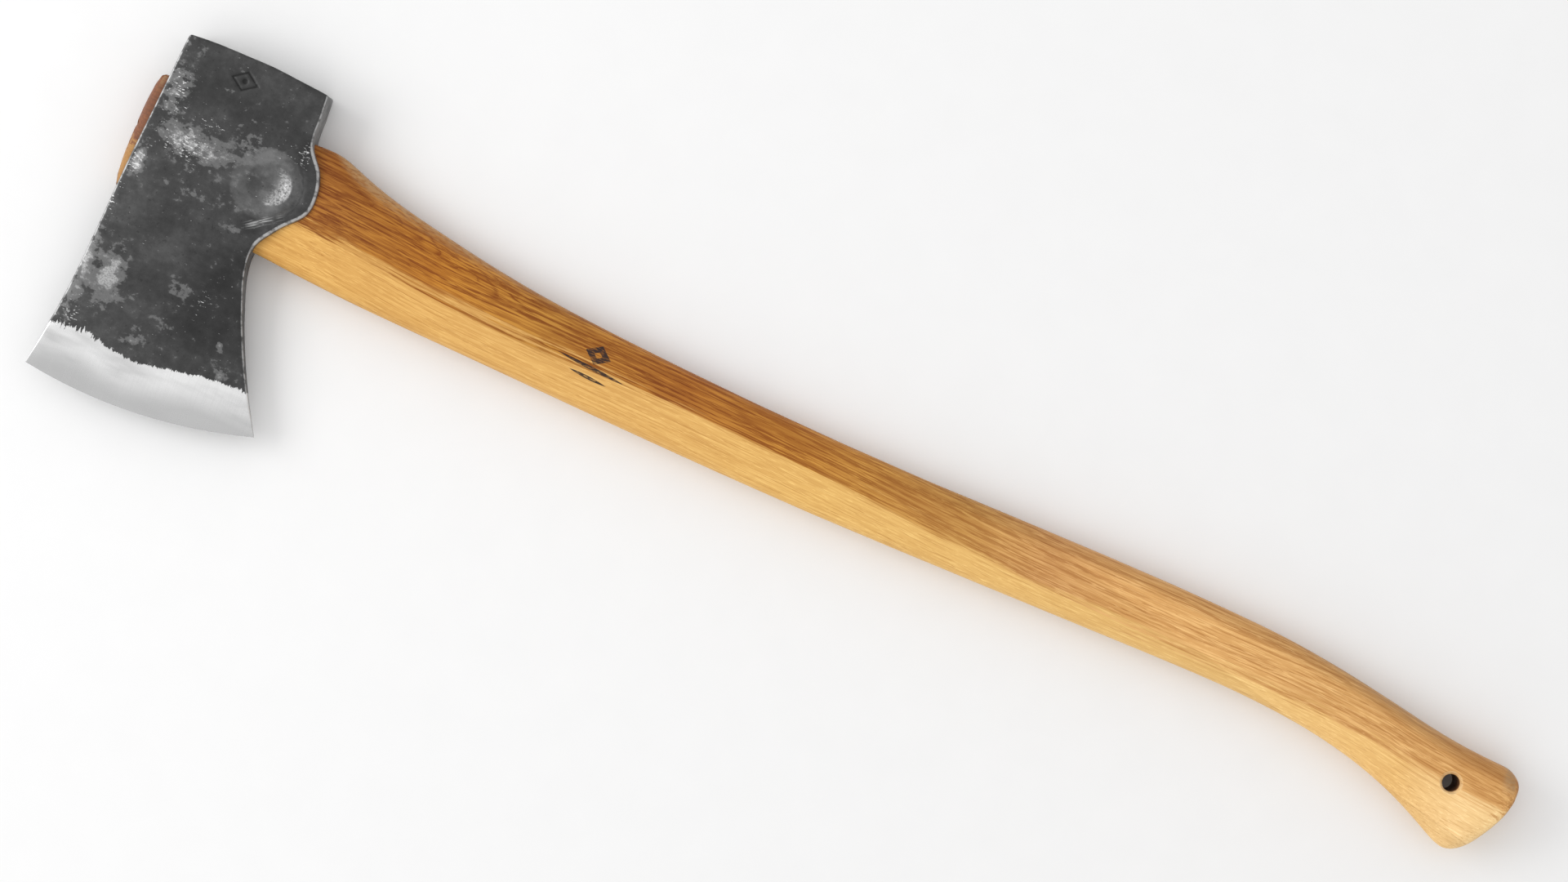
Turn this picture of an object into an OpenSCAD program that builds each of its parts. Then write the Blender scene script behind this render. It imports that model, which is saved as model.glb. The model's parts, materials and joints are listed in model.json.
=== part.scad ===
// Long-handled single-bit axe lying on its side.
// Every shape is drawn in the eye frame: +X runs from the top of the head down the handle to the
// knob, +Y runs from the cutting edge to the poll, +Z runs through the cheeks, and z = 0 is the
// plane that halves the axe. place() then moves it so that the origin is the middle of its
// footprint on the surface it lies on.

/* [Overall] */
// Length from the top of the head to the end of the knob
axe_length = 800; // [700:10:920]

/* [Head] */
// Thickness of the head over the eye and the poll
head_thickness = 30; // [28:0.5:36]
// Half thickness of the blade where the ground bevel begins
bevel_half = 4.2; // [3:0.1:5.5]
// Half thickness left at the cutting edge
edge_half = 0.2; // [0.1:0.05:0.4]
// Chamfer round the cheeks
cheek_chamfer = 1.2; // [0.6:0.1:2]
// How much thinner the ears are than the cheeks, on each side
ear_step = 2.5; // [1:0.1:3]

/* [Eye] */
// Half width of the eye at the top of the head, at its waist and at the shoulder
eye_half_top = 10.2; // [9.8:0.1:11]
eye_half_waist = 9.3; // [8.5:0.1:9.6]
eye_half_shoulder = 9.6; // [9.2:0.1:10.2]
// Gap left between the wood and the steel, and between the wedges and their seats
fit_gap = 0.1; // [0.05:0.05:0.15]
// How far the crown of the tongue stands out of the head
crown = 6.4; // [5:0.1:8]

/* [Handle] */
// Thickness of the handle at the grip
grip_thickness = 24.6; // [22:0.2:28]
// Thickness of the knob
knob_thickness = 30; // [26:0.5:30]
// How far the end of the knob bulges past its last full section
knob_bulge = 13; // [10:0.5:18]
// How much the facets on the belly of the knob thin it, as shares of its half thickness
facet_fall = 0.36; // [0.2:0.02:0.6]
low_facet_fall = 0.4; // [0.2:0.05:0.8]

/* [Hanging hole] */
// Diameter of the hole through the knob
hole_d = 9; // [6:0.5:12]
// Length of the straight wall of the hole
hole_wall = 26; // [20:1:26]

/* [Wedges] */
// Depth of the wooden wedge below the top of the head
wedge_depth = 58; // [40:1:64]
// Thickness of the wooden wedge at the top of the head
wedge_thickness = 6.4; // [4:0.2:8]
// Width, depth and thickness of the steel wedge
steel_width = 17; // [12:0.5:18]
steel_depth = 26; // [18:1:30]
steel_thickness = 3.2; // [2.4:0.1:4]
// Angle between the steel wedge and the wooden wedge
steel_angle = 50; // [40:1:60]
// Number of barbs down each face of the steel wedge
barbs = 5; // [3:1:7]

/* [Hidden] */

// Axe length that the tables below are drawn for, and where the part that stretches begins.
nominal_length = 800;
tongue_end = 110;
handle_stretch = (axe_length - tongue_end) / (nominal_length - tongue_end);
head_half = head_thickness / 2;
grip_half = grip_thickness / 2;
knob_half = knob_thickness / 2;

// Corners of the blade, and how far the edge bows below the line between them.
toe = [-12, -134.7];
heel = [114.4, -124.3];
edge_bow = 7.4;
// Corners of the poll, and the height of its flat middle.
poll_top = [2.4, 57.9];
poll_under = [82, 56.3];
poll_flat_y = 59;
// The poll is flat between these shares of its width.
flat_from = 0.2;
flat_to = 0.6;
// Powers with which the shape of the poll and the bow of the edge fade away down the head.
poll_fade = 6;
bow_fade = 3;

// Side of the head towards the top of the axe, as [y, x].
top_side = [[poll_top.y, poll_top.x], [43, 1.4], [3, -0.6], [-37, -3], [-67, -4.7], [-97, -6.9],
    [toe.y, toe.x]];
// Side of the head towards the handle, with the ear from y = 25 down to y = -30, as [y, x].
under_side = [[poll_under.y, poll_under.x], [44, 83], [33, 83.3], [28, 84.6], [24, 87.6], [20, 91.8],
    [14, 95.3], [8, 97], [1, 97.5], [-5.5, 96.7], [-10, 93.9], [-15.5, 88.4], [-22.5, 82.5],
    [-27.5, 78.4], [-33, 76], [-39, 75.8], [-47, 77.2], [-57, 80.4], [-77, 88.6], [-97, 98.4],
    [-112, 106.9], [heel.y, heel.x]];
// Half thickness of the head down its middle as [share, half thickness], from the poll at 0 over the
// swell of the eye to the ground bevel and the edge at 1.
bevel_from = 0.87;
taper = [[0, 0.92 * head_half], [0.12, 0.94 * head_half], [0.24, 0.99 * head_half], [0.31, head_half],
    [0.37, 0.98 * head_half], [0.43, 0.9 * head_half], [0.5, 0.76 * head_half], [0.6, 0.58 * head_half],
    [0.7, 0.45 * head_half], [0.8, 0.34 * head_half], [bevel_from, bevel_half]];
// The cheeks round off beyond this share of their half width, by this share of their thickness.
round_from = 0.6;
round_fall = 0.04;
// The blade grows lenticular between these shares, and thins by this share at its sides.
blade_from = 0.36;
blade_full = 0.75;
blade_fall = 0.2;
// The ear thins over this stretch of x, and between these stretches of y.
ear_x = [79, 88];
ear_low_y = [-33, -20];
ear_high_y = [20, 34];
// The chamfer takes no more than this share of the half thickness.
chamfer_share = 0.35;
// The eye is cut from above the head to below the ear.
eye_cut = [-15, 105];
columns = 25;
rows = 52;

// Edges of the handle as [x, y] on a handle of the nominal length, and its half thickness as [x, z].
last_x = 791;
back_edge = [[-10, 34], [40, 32], [84, 30.1], [92, 30.7], [98, 30.7], [104, 29.2], [112, 26.1],
    [122, 22.7], [140, 17.9], [168, 12.4], [198, 7.2], [238, 2.2], [298, -2], [358, -4.9], [438, -6.7],
    [518, -6.3], [588, -6.5], [628, -7.6], [658, -9.2], [688, -12.7], [718, -17.6], [748, -23],
    [768, -25.5], [last_x, -26.7]];
belly_edge = [[-10, -31], [40, -33], [76, -34.8], [102, -37.1], [138, -39.4], [198, -41.4],
    [288, -44.4], [378, -46.5], [438, -46.6], [528, -45.8], [618, -45], [648, -45.7], [678, -48.2],
    [698, -51.4], [718, -56.1], [738, -62.8], [758, -71.9], [772, -79.4]];
half_thickness = [[-10, eye_half_top + 0.2], [-3, eye_half_top], [40, eye_half_waist],
    [84, eye_half_shoulder], [97, eye_half_shoulder + 0.3], [106, 10.6], [125, 11.9], [160, 12.7],
    [300, grip_half + 0.3], [440, grip_half], [600, grip_half], [680, grip_half + 0.5], [740, 14.1],
    [766, knob_half - 0.3], [last_x, knob_half - 0.1]];
// How far the belly end of a section lies behind its back end.
lean = [[620, 0], [660, 2], [700, 8], [740, 14], [last_x, 19]];
// Roundness of a section: 2 is an ellipse, and more is squarer.
squareness = [[-10, 3], [84, 2.8], [160, 2.3], [640, 2.3], [last_x, 2.7]];

tongue_x = [-2.5, 20, 40, 62, 84, 90, 97];
grip_x = [101, 105, 109, 113, 118, 124, 131, 139, 148, 158, 170, 184, 200, 220, 245, 275, 310, 350,
    400, 450, 500, 550, 590, 620, 640, 655, 668, for (x = [680 : 10 : 780]) x, last_x];
// Rings that close the crown and the knob, as [share of the bulge, scale in depth, scale in
// thickness, shift towards the back as a share of the depth].
crown_rings = [[0.4, 0.97, 0.88, 0], [0.75, 0.82, 0.66, 0], [1, 0.5, 0.4, 0]];
knob_rings = [[0.3, 0.96, 0.995, 0.02], [0.6, 0.86, 0.975, 0.07], [0.8, 0.73, 0.95, 0.11],
    [0.94, 0.52, 0.9, 0.15], [1, 0.3, 0.8, 0.17]];
// Where the two facets on the belly begin, as [x, share]: 1 is the back and -1 is the belly.
facet_ridge = [[400, -0.6], [612, -0.56], [672, -0.52], [712, -0.38], [736, -0.22], [774, 0.02],
    [last_x, 0.05]];
low_ridge = [[400, -0.94], [700, -0.98], [724, -0.97], [752, -0.87], [774, -0.71], [last_x, -0.65]];
// The facets fade in along the grip between these places.
facets_from = 480;
facets_to = 680;
// Points down one side of a section: back to ridge, ridge to low ridge, low ridge to belly.
side_points = [10, 4, 6];

hole_at = [763.3, -45.3];
countersink = 4;

// The wooden wedge is drawn from above the crown, wider than the eye is long, down to a thin tip.
wedge_top_x = -12;
wedge_reach = 50;
wedge_tip_half = 0.6;
// Top of the steel wedge, and the room left open above it in its seat.
steel_top = -5.2;
seat_room = 10;
// The barbs end this far above the tip, each runs over this share of its pitch and is this deep, and
// the wedge narrows to these half thicknesses at the last barb and at the tip.
barb_stop = 3;
barb_run = 0.8;
barb_cut = 0.45;
last_barb_half = 0.5;
steel_tip_half = 0.3;

// ---- Curves ----

function rise(t, i) = (t[i + 1][1] - t[i][1]) / (t[i + 1][0] - t[i][0]);
function slope(t, i) = i == 0 ? rise(t, 0)
    : i == len(t) - 1 ? rise(t, i - 1)
    : (t[i + 1][1] - t[i - 1][1]) / (t[i + 1][0] - t[i - 1][0]);
// Which span of a table holds x, in a table that rises or one that falls.
function within(t, x, i) = t[0][0] < t[1][0] ? x <= t[i + 1][0] : x >= t[i + 1][0];
function span_at(t, x, i = 0) = i >= len(t) - 2 || within(t, x, i) ? i : span_at(t, x, i + 1);
// Smooth curve through the points of a table, level past its ends.
function curve(t, x) = let (
    i = span_at(t, x), w = t[i + 1][0] - t[i][0], k = min(max((x - t[i][0]) / w, 0), 1),
    to = k * k * (3 - 2 * k), leave = k * (1 - k) * (1 - k), arrive = k * k * (k - 1))
    mix(t[i][1], t[i + 1][1], to) + w * (slope(t, i) * leave + slope(t, i + 1) * arrive);
function ease(from, to, x) = let (k = min(max((x - from) / (to - from), 0), 1)) k * k * (3 - 2 * k);
function mix(a, b, k) = a + (b - a) * k;

// ---- Handle ----

// Lengths down the handle stretch beyond the head only, so that the tongue always fits the eye.
function down(x) = x <= tongue_end ? x : tongue_end + (x - tongue_end) * handle_stretch;

function power(c, n) = sign(c) * pow(abs(c), 2 / n);
function back_at(x) = [down(x), curve(back_edge, x)];
function belly_at(x) = let (b = x - curve(lean, x)) [down(b), curve(belly_edge, b)];
function facets(x, t) = 1 - ease(facets_from, facets_to, x)
    * (facet_fall * max(0, curve(facet_ridge, x) - t) + low_facet_fall * max(0, curve(low_ridge, x) - t));
// Angles of the points down one side of a section, with points on both ridges, and then back up the
// other side.
function ridge_angle(share, n) = acos(power(share, 4 / n));
function side_angles(x, n) = let (
    stops = [0, ridge_angle(curve(facet_ridge, x), n), ridge_angle(curve(low_ridge, x), n), 180])
    [for (k = [0 : 2], i = [0 : side_points[k] - 1]) mix(stops[k], stops[k + 1], i / side_points[k])];
function ring_angles(x, n) = let (side = side_angles(x, n))
    concat(side, [180], [for (i = [len(side) - 1 : -1 : 1]) 360 - side[i]]);

// One closed section, grow wider all round. A ring is its section moved by bulge times the ring's
// share and scaled by the rest of the ring.
whole = [0, 1, 1, 0];
function section(x, grow = 0, bulge = 0, ring = whole) = let (
    back = back_at(x), belly = belly_at(x), axis = (back - belly) / 2, reach = norm(axis),
    unit = axis / reach, normal = [unit.y, -unit.x],
    middle = (back + belly) / 2 + ring[3] * axis + bulge * ring[0] * normal,
    half = curve(half_thickness, x) * ring[2] + grow, n = curve(squareness, x))
    [for (a = ring_angles(x, n))
        let (t = power(cos(a), n), p = middle + unit * (reach * ring[1] + grow) * t)
        [p.x, p.y, half * power(sin(a), n) * facets(x, t)]];
function knob_section(ring) = section(last_x, 0, knob_bulge, ring);
function knob_end_x() = max([for (r = knob_rings, p = knob_section(r)) p.x]);
function centre(ring) = [for (k = [0 : 2]) [for (p = ring) p[k]] * [for (p = ring) 1] / len(ring)];

// Solid through a list of rings, closed to a point at the middle of the first and the last.
module tube(rings) {
    n = len(rings[0]);
    count = len(rings);
    points = concat([for (r = rings, p = r) p], [centre(rings[0]), centre(rings[count - 1])]);
    sides = [for (k = [0 : count - 2], i = [0 : n - 1]) let (j = (i + 1) % n, a = k * n, b = a + n)
        each [[a + i, b + i, b + j], [a + i, b + j, a + j]]];
    first_cap = [for (i = [0 : n - 1]) [count * n, i, (i + 1) % n]];
    last_cap = [for (i = [0 : n - 1]) let (a = (count - 1) * n) [count * n + 1, a + (i + 1) % n, a + i]];
    polyhedron(points, concat(sides, first_cap, last_cap));
}

// The whole handle before any cut: tongue, shoulder, grip and knob.
module blank() {
    first_x = tongue_x[0];
    crown_caps = [for (i = [len(crown_rings) - 1 : -1 : 0])
        section(first_x, 0, -crown - first_x, crown_rings[i])];
    shaft = [for (x = concat(tongue_x, grip_x)) section(x)];
    tube(concat(crown_caps, shaft, [for (r = knob_rings) knob_section(r)]));
}

// What the eye removes from the head: the tongue, grown by the fit.
module eye_cutter() {
    tube([for (x = concat([eye_cut[0]], tongue_x, [eye_cut[1]])) section(x, fit_gap)]);
}

module hanging_hole() {
    translate([down(hole_at.x), hole_at.y, 0]) {
        cylinder(d = hole_d, h = 2 * knob_thickness, center = true, $fn = 48);
        for (side = [0, 1]) mirror([0, 0, side]) translate([0, 0, hole_wall / 2])
            cylinder(r1 = hole_d / 2, r2 = hole_d / 2 + countersink, h = countersink, $fn = 48);
    }
}

// ---- Wedges ----

// The flat tapered wedge that runs the length of the eye.
module wedge_body(grow = 0) {
    taper_per_mm = (wedge_thickness / 2 - wedge_tip_half) / wedge_depth;
    wide = wedge_thickness / 2 - wedge_top_x * taper_per_mm + grow;
    tip = [wedge_depth + grow, wedge_tip_half + grow];
    rotate([90, 0, 0]) linear_extrude(2 * wedge_reach, center = true)
        polygon([[wedge_top_x, wide], [wedge_top_x, -wide], [tip.x, -tip.y], tip]);
}

// Half outline of the steel wedge: a saw of barbs that narrows to its tip, from x = top.
function barb_side(top, grow) = let (pitch = (steel_depth - barb_stop) / barbs)
    [for (i = [0 : barbs - 1])
        let (half = mix(steel_thickness / 2, last_barb_half, i / barbs) + grow)
        each [[top + i * pitch, half], [top + (i + barb_run) * pitch, half - barb_cut]]];

module steel_body(top, grow = 0, width = steel_width) {
    side = barb_side(top, grow);
    tip = [top + steel_depth, steel_tip_half + grow];
    other = [for (i = [len(side) - 1 : -1 : 0]) [side[i].x, -side[i].y]];
    outline = concat(side, [tip, [tip.x, -tip.y]], other);
    rotate([90 + steel_angle, 0, 0]) linear_extrude(width, center = true) polygon(outline);
}

// Room for the steel wedge, open at the crown.
module steel_seat() {
    steel_body(steel_top, fit_gap / 2, steel_width + fit_gap);
    overlap = 0.01;
    rotate([steel_angle, 0, 0]) translate([steel_top - seat_room / 2 + overlap, 0, 0])
        cube([seat_room, steel_width + fit_gap, steel_thickness + fit_gap], center = true);
}

// ---- Head ----

function side_y(s, last) = mix(last ? poll_under.y : poll_top.y, last ? heel.y : toe.y, s);
function poll_lift(u) = let (chord = mix(poll_top.y, poll_under.y, u)) u < flat_from
    ? mix(poll_top.y, poll_flat_y, u / flat_from) - chord : u > flat_to
    ? mix(poll_flat_y, poll_under.y, (u - flat_to) / (1 - flat_to)) - chord : poll_flat_y - chord;
// Place of a point of the cheek: u runs from the top of the head to the handle side, s from the
// poll to the cutting edge.
function cheek_at(u, s) = let (left_y = side_y(s, false), right_y = side_y(s, true),
    x = mix(curve(top_side, left_y), curve(under_side, right_y), u))
    [x, mix(left_y, right_y, u) + poll_lift(u) * pow(1 - s, poll_fade)
        - edge_bow * 4 * u * (1 - u) * pow(s, bow_fade)];
function middle_half(s) = s <= bevel_from ? curve(taper, s)
    : mix(bevel_half, edge_half, (s - bevel_from) / (1 - bevel_from));
// Half thickness of the head: flat cheeks over the eye, rounded blade, thinner ears.
function cheek_half(u, s) = let (p = cheek_at(u, s), side = abs(2 * u - 1),
    round_off = max(0, side - round_from) / (1 - round_from),
    blade = ease(blade_from, blade_full, s) * (1 - ease(bevel_from, 1, s)),
    ear = ease(ear_x[0], ear_x[1], p.x) * ease(ear_low_y[0], ear_low_y[1], p.y)
        * (1 - ease(ear_high_y[0], ear_high_y[1], p.y)))
    middle_half(s) * (1 - round_fall * round_off * round_off - blade_fall * blade * side * side)
        - ear_step * ear;
function edge_low_y() = min([for (i = [0 : columns]) cheek_at(i / columns, 1).y]);

module head_blank() {
    cols = columns + 1;
    sheet = cols * (rows + 1);
    rim = concat([for (i = [0 : columns]) [i, 0]], [for (j = [1 : rows]) [columns, j]],
        [for (i = [columns - 1 : -1 : 0]) [i, rows]], [for (j = [rows - 1 : -1 : 1]) [0, j]]);
    m = len(rim);
    function chamfer(h) = min(cheek_chamfer, chamfer_share * h);
    function inward(k, last) = k == 0 ? 1 : k == last ? -1 : 0;
    function inset(i, j, h) = chamfer(h) * [inward(i, columns), -inward(j, rows)];
    function cheek(side) = [for (j = [0 : rows], i = [0 : columns]) let (u = i / columns, s = j / rows,
        h = cheek_half(u, s), p = cheek_at(u, s) + inset(i, j, h)) [p.x, p.y, side * h]];
    function wall(side) = [for (r = rim) let (u = r[0] / columns, s = r[1] / rows, h = cheek_half(u, s),
        p = cheek_at(u, s)) [p.x, p.y, side * (h - chamfer(h))]];
    points = concat(cheek(1), cheek(-1), wall(1), wall(-1));
    top_wall = 2 * sheet;
    low_wall = top_wall + m;
    cheeks = [for (j = [0 : rows - 1], i = [0 : columns - 1])
        let (a = j * cols + i, b = a + 1, c = a + cols, d = c + 1, e = sheet + a, f = e + 1, g = e + cols)
        each [[a, b, d], [a, d, c], [e, g + 1, f], [e, g, g + 1]]];
    walls = [for (k = [0 : m - 1]) let (n = (k + 1) % m, a = rim[k][1] * cols + rim[k][0],
        b = rim[n][1] * cols + rim[n][0]) each [
            [a, top_wall + k, top_wall + n], [a, top_wall + n, b],
            [top_wall + k, low_wall + k, low_wall + n], [top_wall + k, low_wall + n, top_wall + n],
            [low_wall + k, sheet + a, sheet + b], [low_wall + k, sheet + b, low_wall + n]]];
    polyhedron(points, concat(cheeks, walls));
}

// ---- Nodes ----

axe_middle = [(toe.x + knob_end_x()) / 2, (poll_flat_y + edge_low_y()) / 2];

module place() {
    translate([-axe_middle.x, -axe_middle.y, head_half]) children();
}

module axe_head() {
    color("#4c4c4c") place() difference() {
        head_blank();
        eye_cutter();
    }
}

module handle() {
    color("#d9a55f") place() difference() {
        blank();
        wedge_body(fit_gap / 2);
        steel_seat();
        hanging_hole();
    }
}

module wooden_wedge() {
    color("#b5793f") place() difference() {
        intersection() {
            blank();
            wedge_body();
        }
        steel_seat();
    }
}

module steel_wedge() {
    color("#8a8a8a") place() steel_body(steel_top);
}

axe_head();
handle();
wooden_wedge();
steel_wedge();
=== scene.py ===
import json
import math

import bpy
import numpy as np
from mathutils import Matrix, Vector, kdtree, noise
from mathutils.bvhtree import BVHTree


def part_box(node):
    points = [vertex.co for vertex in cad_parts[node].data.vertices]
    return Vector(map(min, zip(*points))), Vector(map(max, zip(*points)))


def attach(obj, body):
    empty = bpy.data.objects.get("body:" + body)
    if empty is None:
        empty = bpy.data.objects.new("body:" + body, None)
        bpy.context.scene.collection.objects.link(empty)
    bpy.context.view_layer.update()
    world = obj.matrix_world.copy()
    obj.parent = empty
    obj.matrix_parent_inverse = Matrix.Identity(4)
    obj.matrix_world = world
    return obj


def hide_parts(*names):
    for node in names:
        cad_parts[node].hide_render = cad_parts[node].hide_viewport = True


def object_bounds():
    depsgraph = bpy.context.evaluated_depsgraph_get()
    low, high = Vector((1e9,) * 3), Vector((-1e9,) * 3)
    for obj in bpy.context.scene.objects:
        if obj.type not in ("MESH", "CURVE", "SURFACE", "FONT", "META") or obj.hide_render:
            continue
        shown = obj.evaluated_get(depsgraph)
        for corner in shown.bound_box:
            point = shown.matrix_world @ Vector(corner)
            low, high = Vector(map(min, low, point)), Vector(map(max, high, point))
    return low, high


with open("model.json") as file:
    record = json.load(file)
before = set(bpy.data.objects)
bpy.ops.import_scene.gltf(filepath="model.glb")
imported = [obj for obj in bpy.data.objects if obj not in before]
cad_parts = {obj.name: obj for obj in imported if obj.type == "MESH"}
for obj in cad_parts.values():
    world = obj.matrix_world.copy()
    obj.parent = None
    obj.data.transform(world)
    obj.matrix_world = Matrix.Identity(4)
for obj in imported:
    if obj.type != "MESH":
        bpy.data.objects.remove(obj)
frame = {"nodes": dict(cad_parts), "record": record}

cad_low, cad_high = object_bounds()

# ---- Driving values, in metres ----

MM = 0.001
MIDDLE = (cad_low.z + cad_high.z) / 2

HEAD_LOW, HEAD_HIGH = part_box("axe_head")
HANDLE_LOW, HANDLE_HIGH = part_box("handle")
WEDGE_LOW, WEDGE_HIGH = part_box("wooden_wedge")
STEEL_LOW, STEEL_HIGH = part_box("steel_wedge")
HOLE = next(m for m in frame["record"]["mounts"] if m["name"] == "hanging_hole")
HOLE_X, HOLE_Y, HOLE_Z = HOLE["pos_m"]
HOLE_RADIUS = HOLE["dims"]["r_mm"] * MM
HOLE_DEPTH = HOLE["dims"]["length_mm"] * MM

# The camera stands straight above the axe, and is turned so that the handle falls to the right.
CAMERA_HEIGHT = 2.3
CAMERA_TURN = math.radians(23)
CAMERA_OFF_CENTRE = (-0.02168, 0.0224)
VIEW_WIDTH = 0.8256
SENSOR = 36
CLIP = (0.05, 50)

# Head: columns run from the top of the axe to the handle, rows from the poll to the cutting edge.
COLUMNS = 150
ROWS = 272
ROW_SPREAD = 1.15
EDGE_ROUNDING = 0.9 * MM
EAR_ROUNDING = 1.8 * MM
# How far in from the outline the thickness is measured, and what it is taken as where nothing is met.
MEASURE_INSET = 1.3 * MM
EDGE_THICK = 0.3 * MM
# The rounding is at most this share of half the thickness.
ROUNDING_SHARE = 0.42
ARC_STEPS = 4
WALL_STEPS = 4
WALL_LEVELS = [k * MM for k in (0, 3, 6, 9, 11, 12.5)]

# Handle: rings along it, and points round each ring.
SIDES = 200
RING_STEP = 2.4 * MM
CROWN_REACH = 4 * MM
CROWN_RINGS = 12
KNOB_REACH = 28 * MM
KNOB_RINGS = 30
END_CLEAR = 0.02 * MM
FIT_GAP = 0.1 * MM
# A sample of the section that is this much nearer its middle than its neighbours lies in a gap.
GAP_DEPTH = 0.6 * MM
# How far the rings are bridged past the rim of the hanging hole.
HOLE_BRIDGE = 2.6 * MM
# Widths of the Gaussian means, in samples: along the handle, and round it.
ALONG_MEAN = 2.0
ROUND_MEAN = 0.9
# How far the cutters run past what they cut.
CUTTER_PAST = 6 * MM
KERF_PAST = 10 * MM
SEAT_TIP = 0.4 * MM
# Edges that turn by more than these angles are shaded sharp.
HEAD_CREASE, HANDLE_CREASE = 40, 50
# Signs of a rectangle's four corners, in order.
SQUARE = ((-1, -1), (1, -1), (1, 1), (-1, 1))


# ---- Tools ----

# A ray can slip through where two facets meet, so each is cast from three places, moved by these in mm.
NUDGES = [(0, 0, 0), (0.011, 0.007, 0.013), (-0.009, -0.013, -0.007)]
# Rays start this far from the axe's middle, well outside it.
OUTSIDE = 1.0


def positions(piece):
    flat = np.empty(3 * len(piece.data.vertices))
    piece.data.vertices.foreach_get("co", flat)
    return flat.reshape(-1, 3)


def corners_of(name):
    return positions(frame["nodes"][name])


def surface_of(*names):
    """A function that gives the point where a ray first meets one of these CAD nodes, or None."""
    trees = []
    for name in names:
        faces = [tuple(p.vertices) for p in frame["nodes"][name].data.polygons]
        trees.append(BVHTree.FromPolygons(corners_of(name).tolist(), faces))

    def first(start, way):
        starts = [Vector(start) + Vector(nudge) * MM for nudge in NUDGES]
        hits = [tree.ray_cast(place, Vector(way)) for tree in trees for place in starts]
        hits = [h for h in hits if h[0] is not None]
        return min(hits, key=lambda h: h[3])[0] if hits else None

    return first


def smooth(values, radius, closed=False):
    """Gaussian mean along the first axis. Open ends are carried on in line, so they stay put."""
    reach = int(3 * radius) + 1
    weights = np.exp(-0.5 * (np.arange(-reach, reach + 1) / radius) ** 2)
    weights /= weights.sum()
    if closed:
        longer = np.concatenate([values[-reach:], values, values[:reach]])
    else:
        before = 2 * values[0] - values[reach:0:-1]
        after = 2 * values[-1] - values[-2:-reach - 2:-1]
        longer = np.concatenate([before, values, after])
    return sum(w * longer[i:i + len(values)] for i, w in enumerate(weights))


def ease(low, high, x):
    k = np.clip((x - low) / (high - low), 0, 1)
    return k * k * (3 - 2 * k)


def bumps(x, y, size, seed):
    """Smooth noise from -1 to 1 with features of about this size."""
    flat = [noise.noise(Vector((a / size, b / size, seed))) for a, b in zip(x.ravel(), y.ravel())]
    return np.array(flat).reshape(x.shape)


def spot(x, y, at, radii):
    """1 at the middle of an ellipse, falling to 0 far outside it."""
    return np.exp(-((x - at[0]) / radii[0]) ** 2 - ((y - at[1]) / radii[1]) ** 2)


def new_object(name, data):
    made = bpy.data.objects.new(name, data)
    bpy.context.scene.collection.objects.link(made)
    return made


def new_mesh(name, points, faces):
    mesh = bpy.data.meshes.new(name)
    mesh.from_pydata([tuple(p) for p in points], [], faces)
    mesh.validate()
    return new_object(name, mesh)


def set_attribute(piece, name, values):
    layer = piece.data.attributes.new(name, "FLOAT", "POINT")
    layer.data.foreach_set("value", np.asarray(values, np.float32))


def cut(piece, cutter):
    """Take the cutter out of the piece, and throw the cutter away."""
    step = piece.modifiers.new("cut", "BOOLEAN")
    step.operation = "DIFFERENCE"
    step.solver = "EXACT"
    step.object = cutter
    graph = bpy.context.evaluated_depsgraph_get()
    result = bpy.data.meshes.new_from_object(piece.evaluated_get(graph))
    piece.modifiers.clear()
    piece.data = result
    bpy.data.objects.remove(cutter)


def shade(piece, angle):
    piece.data.shade_smooth()
    piece.data.set_sharp_from_angle(angle=math.radians(angle))


def tube(name, rings, first_tip, last_tip):
    """Closed mesh through rings of equal size, each end closed to a point."""
    count = len(rings)
    sides = len(rings[0])
    points = [p for ring in rings for p in ring] + [first_tip, last_tip]
    faces = []
    for r in range(count - 1):
        for i in range(sides):
            j = (i + 1) % sides
            faces.append((r * sides + i, r * sides + j, (r + 1) * sides + j, (r + 1) * sides + i))
    for i in range(sides):
        j = (i + 1) % sides
        faces.append((count * sides, j, i))
        faces.append((count * sides + 1, (count - 1) * sides + i, (count - 1) * sides + j))
    return new_mesh(name, points, faces)


# ---- Handle ----

def section_size(first, x):
    """Middle of the handle's section at x, half its depth and half its thickness."""
    back = first((x, OUTSIDE, MIDDLE), (0, -1, 0)).y
    belly = first((x, -OUTSIDE, MIDDLE), (0, 1, 0)).y
    middle = (back + belly) / 2
    top = first((x, middle, OUTSIDE), (0, 0, -1))
    return middle, max((back - belly) / 2, MM), max(top.z - MIDDLE, MM) if top else MM


def ring_radii(first, x, middle, deep, thick):
    """Points round the handle's section at x, as steps (y, z) from its middle."""
    radii = []
    for k in range(SIDES):
        turn = 2 * math.pi * k / SIDES
        way = Vector((0, deep * math.cos(turn), thick * math.sin(turn))).normalized()
        hit = first(Vector((x, middle, MIDDLE)) + way * OUTSIDE, -way)
        radii.append((hit.y - middle, hit.z - MIDDLE) if hit else (0, 0))
    return radii


def ring_places():
    """Where the rings stand along the handle, closer together at both ends."""
    low, high = HANDLE_LOW.x, HANDLE_HIGH.x
    crown = [low + END_CLEAR + CROWN_REACH * (k / CROWN_RINGS) ** 2 for k in range(CROWN_RINGS)]
    knob = [high - END_CLEAR - KNOB_REACH * (k / KNOB_RINGS) ** 2 for k in range(KNOB_RINGS)]
    count = round((high - low - CROWN_REACH - KNOB_REACH) / RING_STEP)
    shaft = np.linspace(low + CROWN_REACH, high - KNOB_REACH, count + 1)
    return np.array(crown + list(shaft) + knob[::-1])


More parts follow.
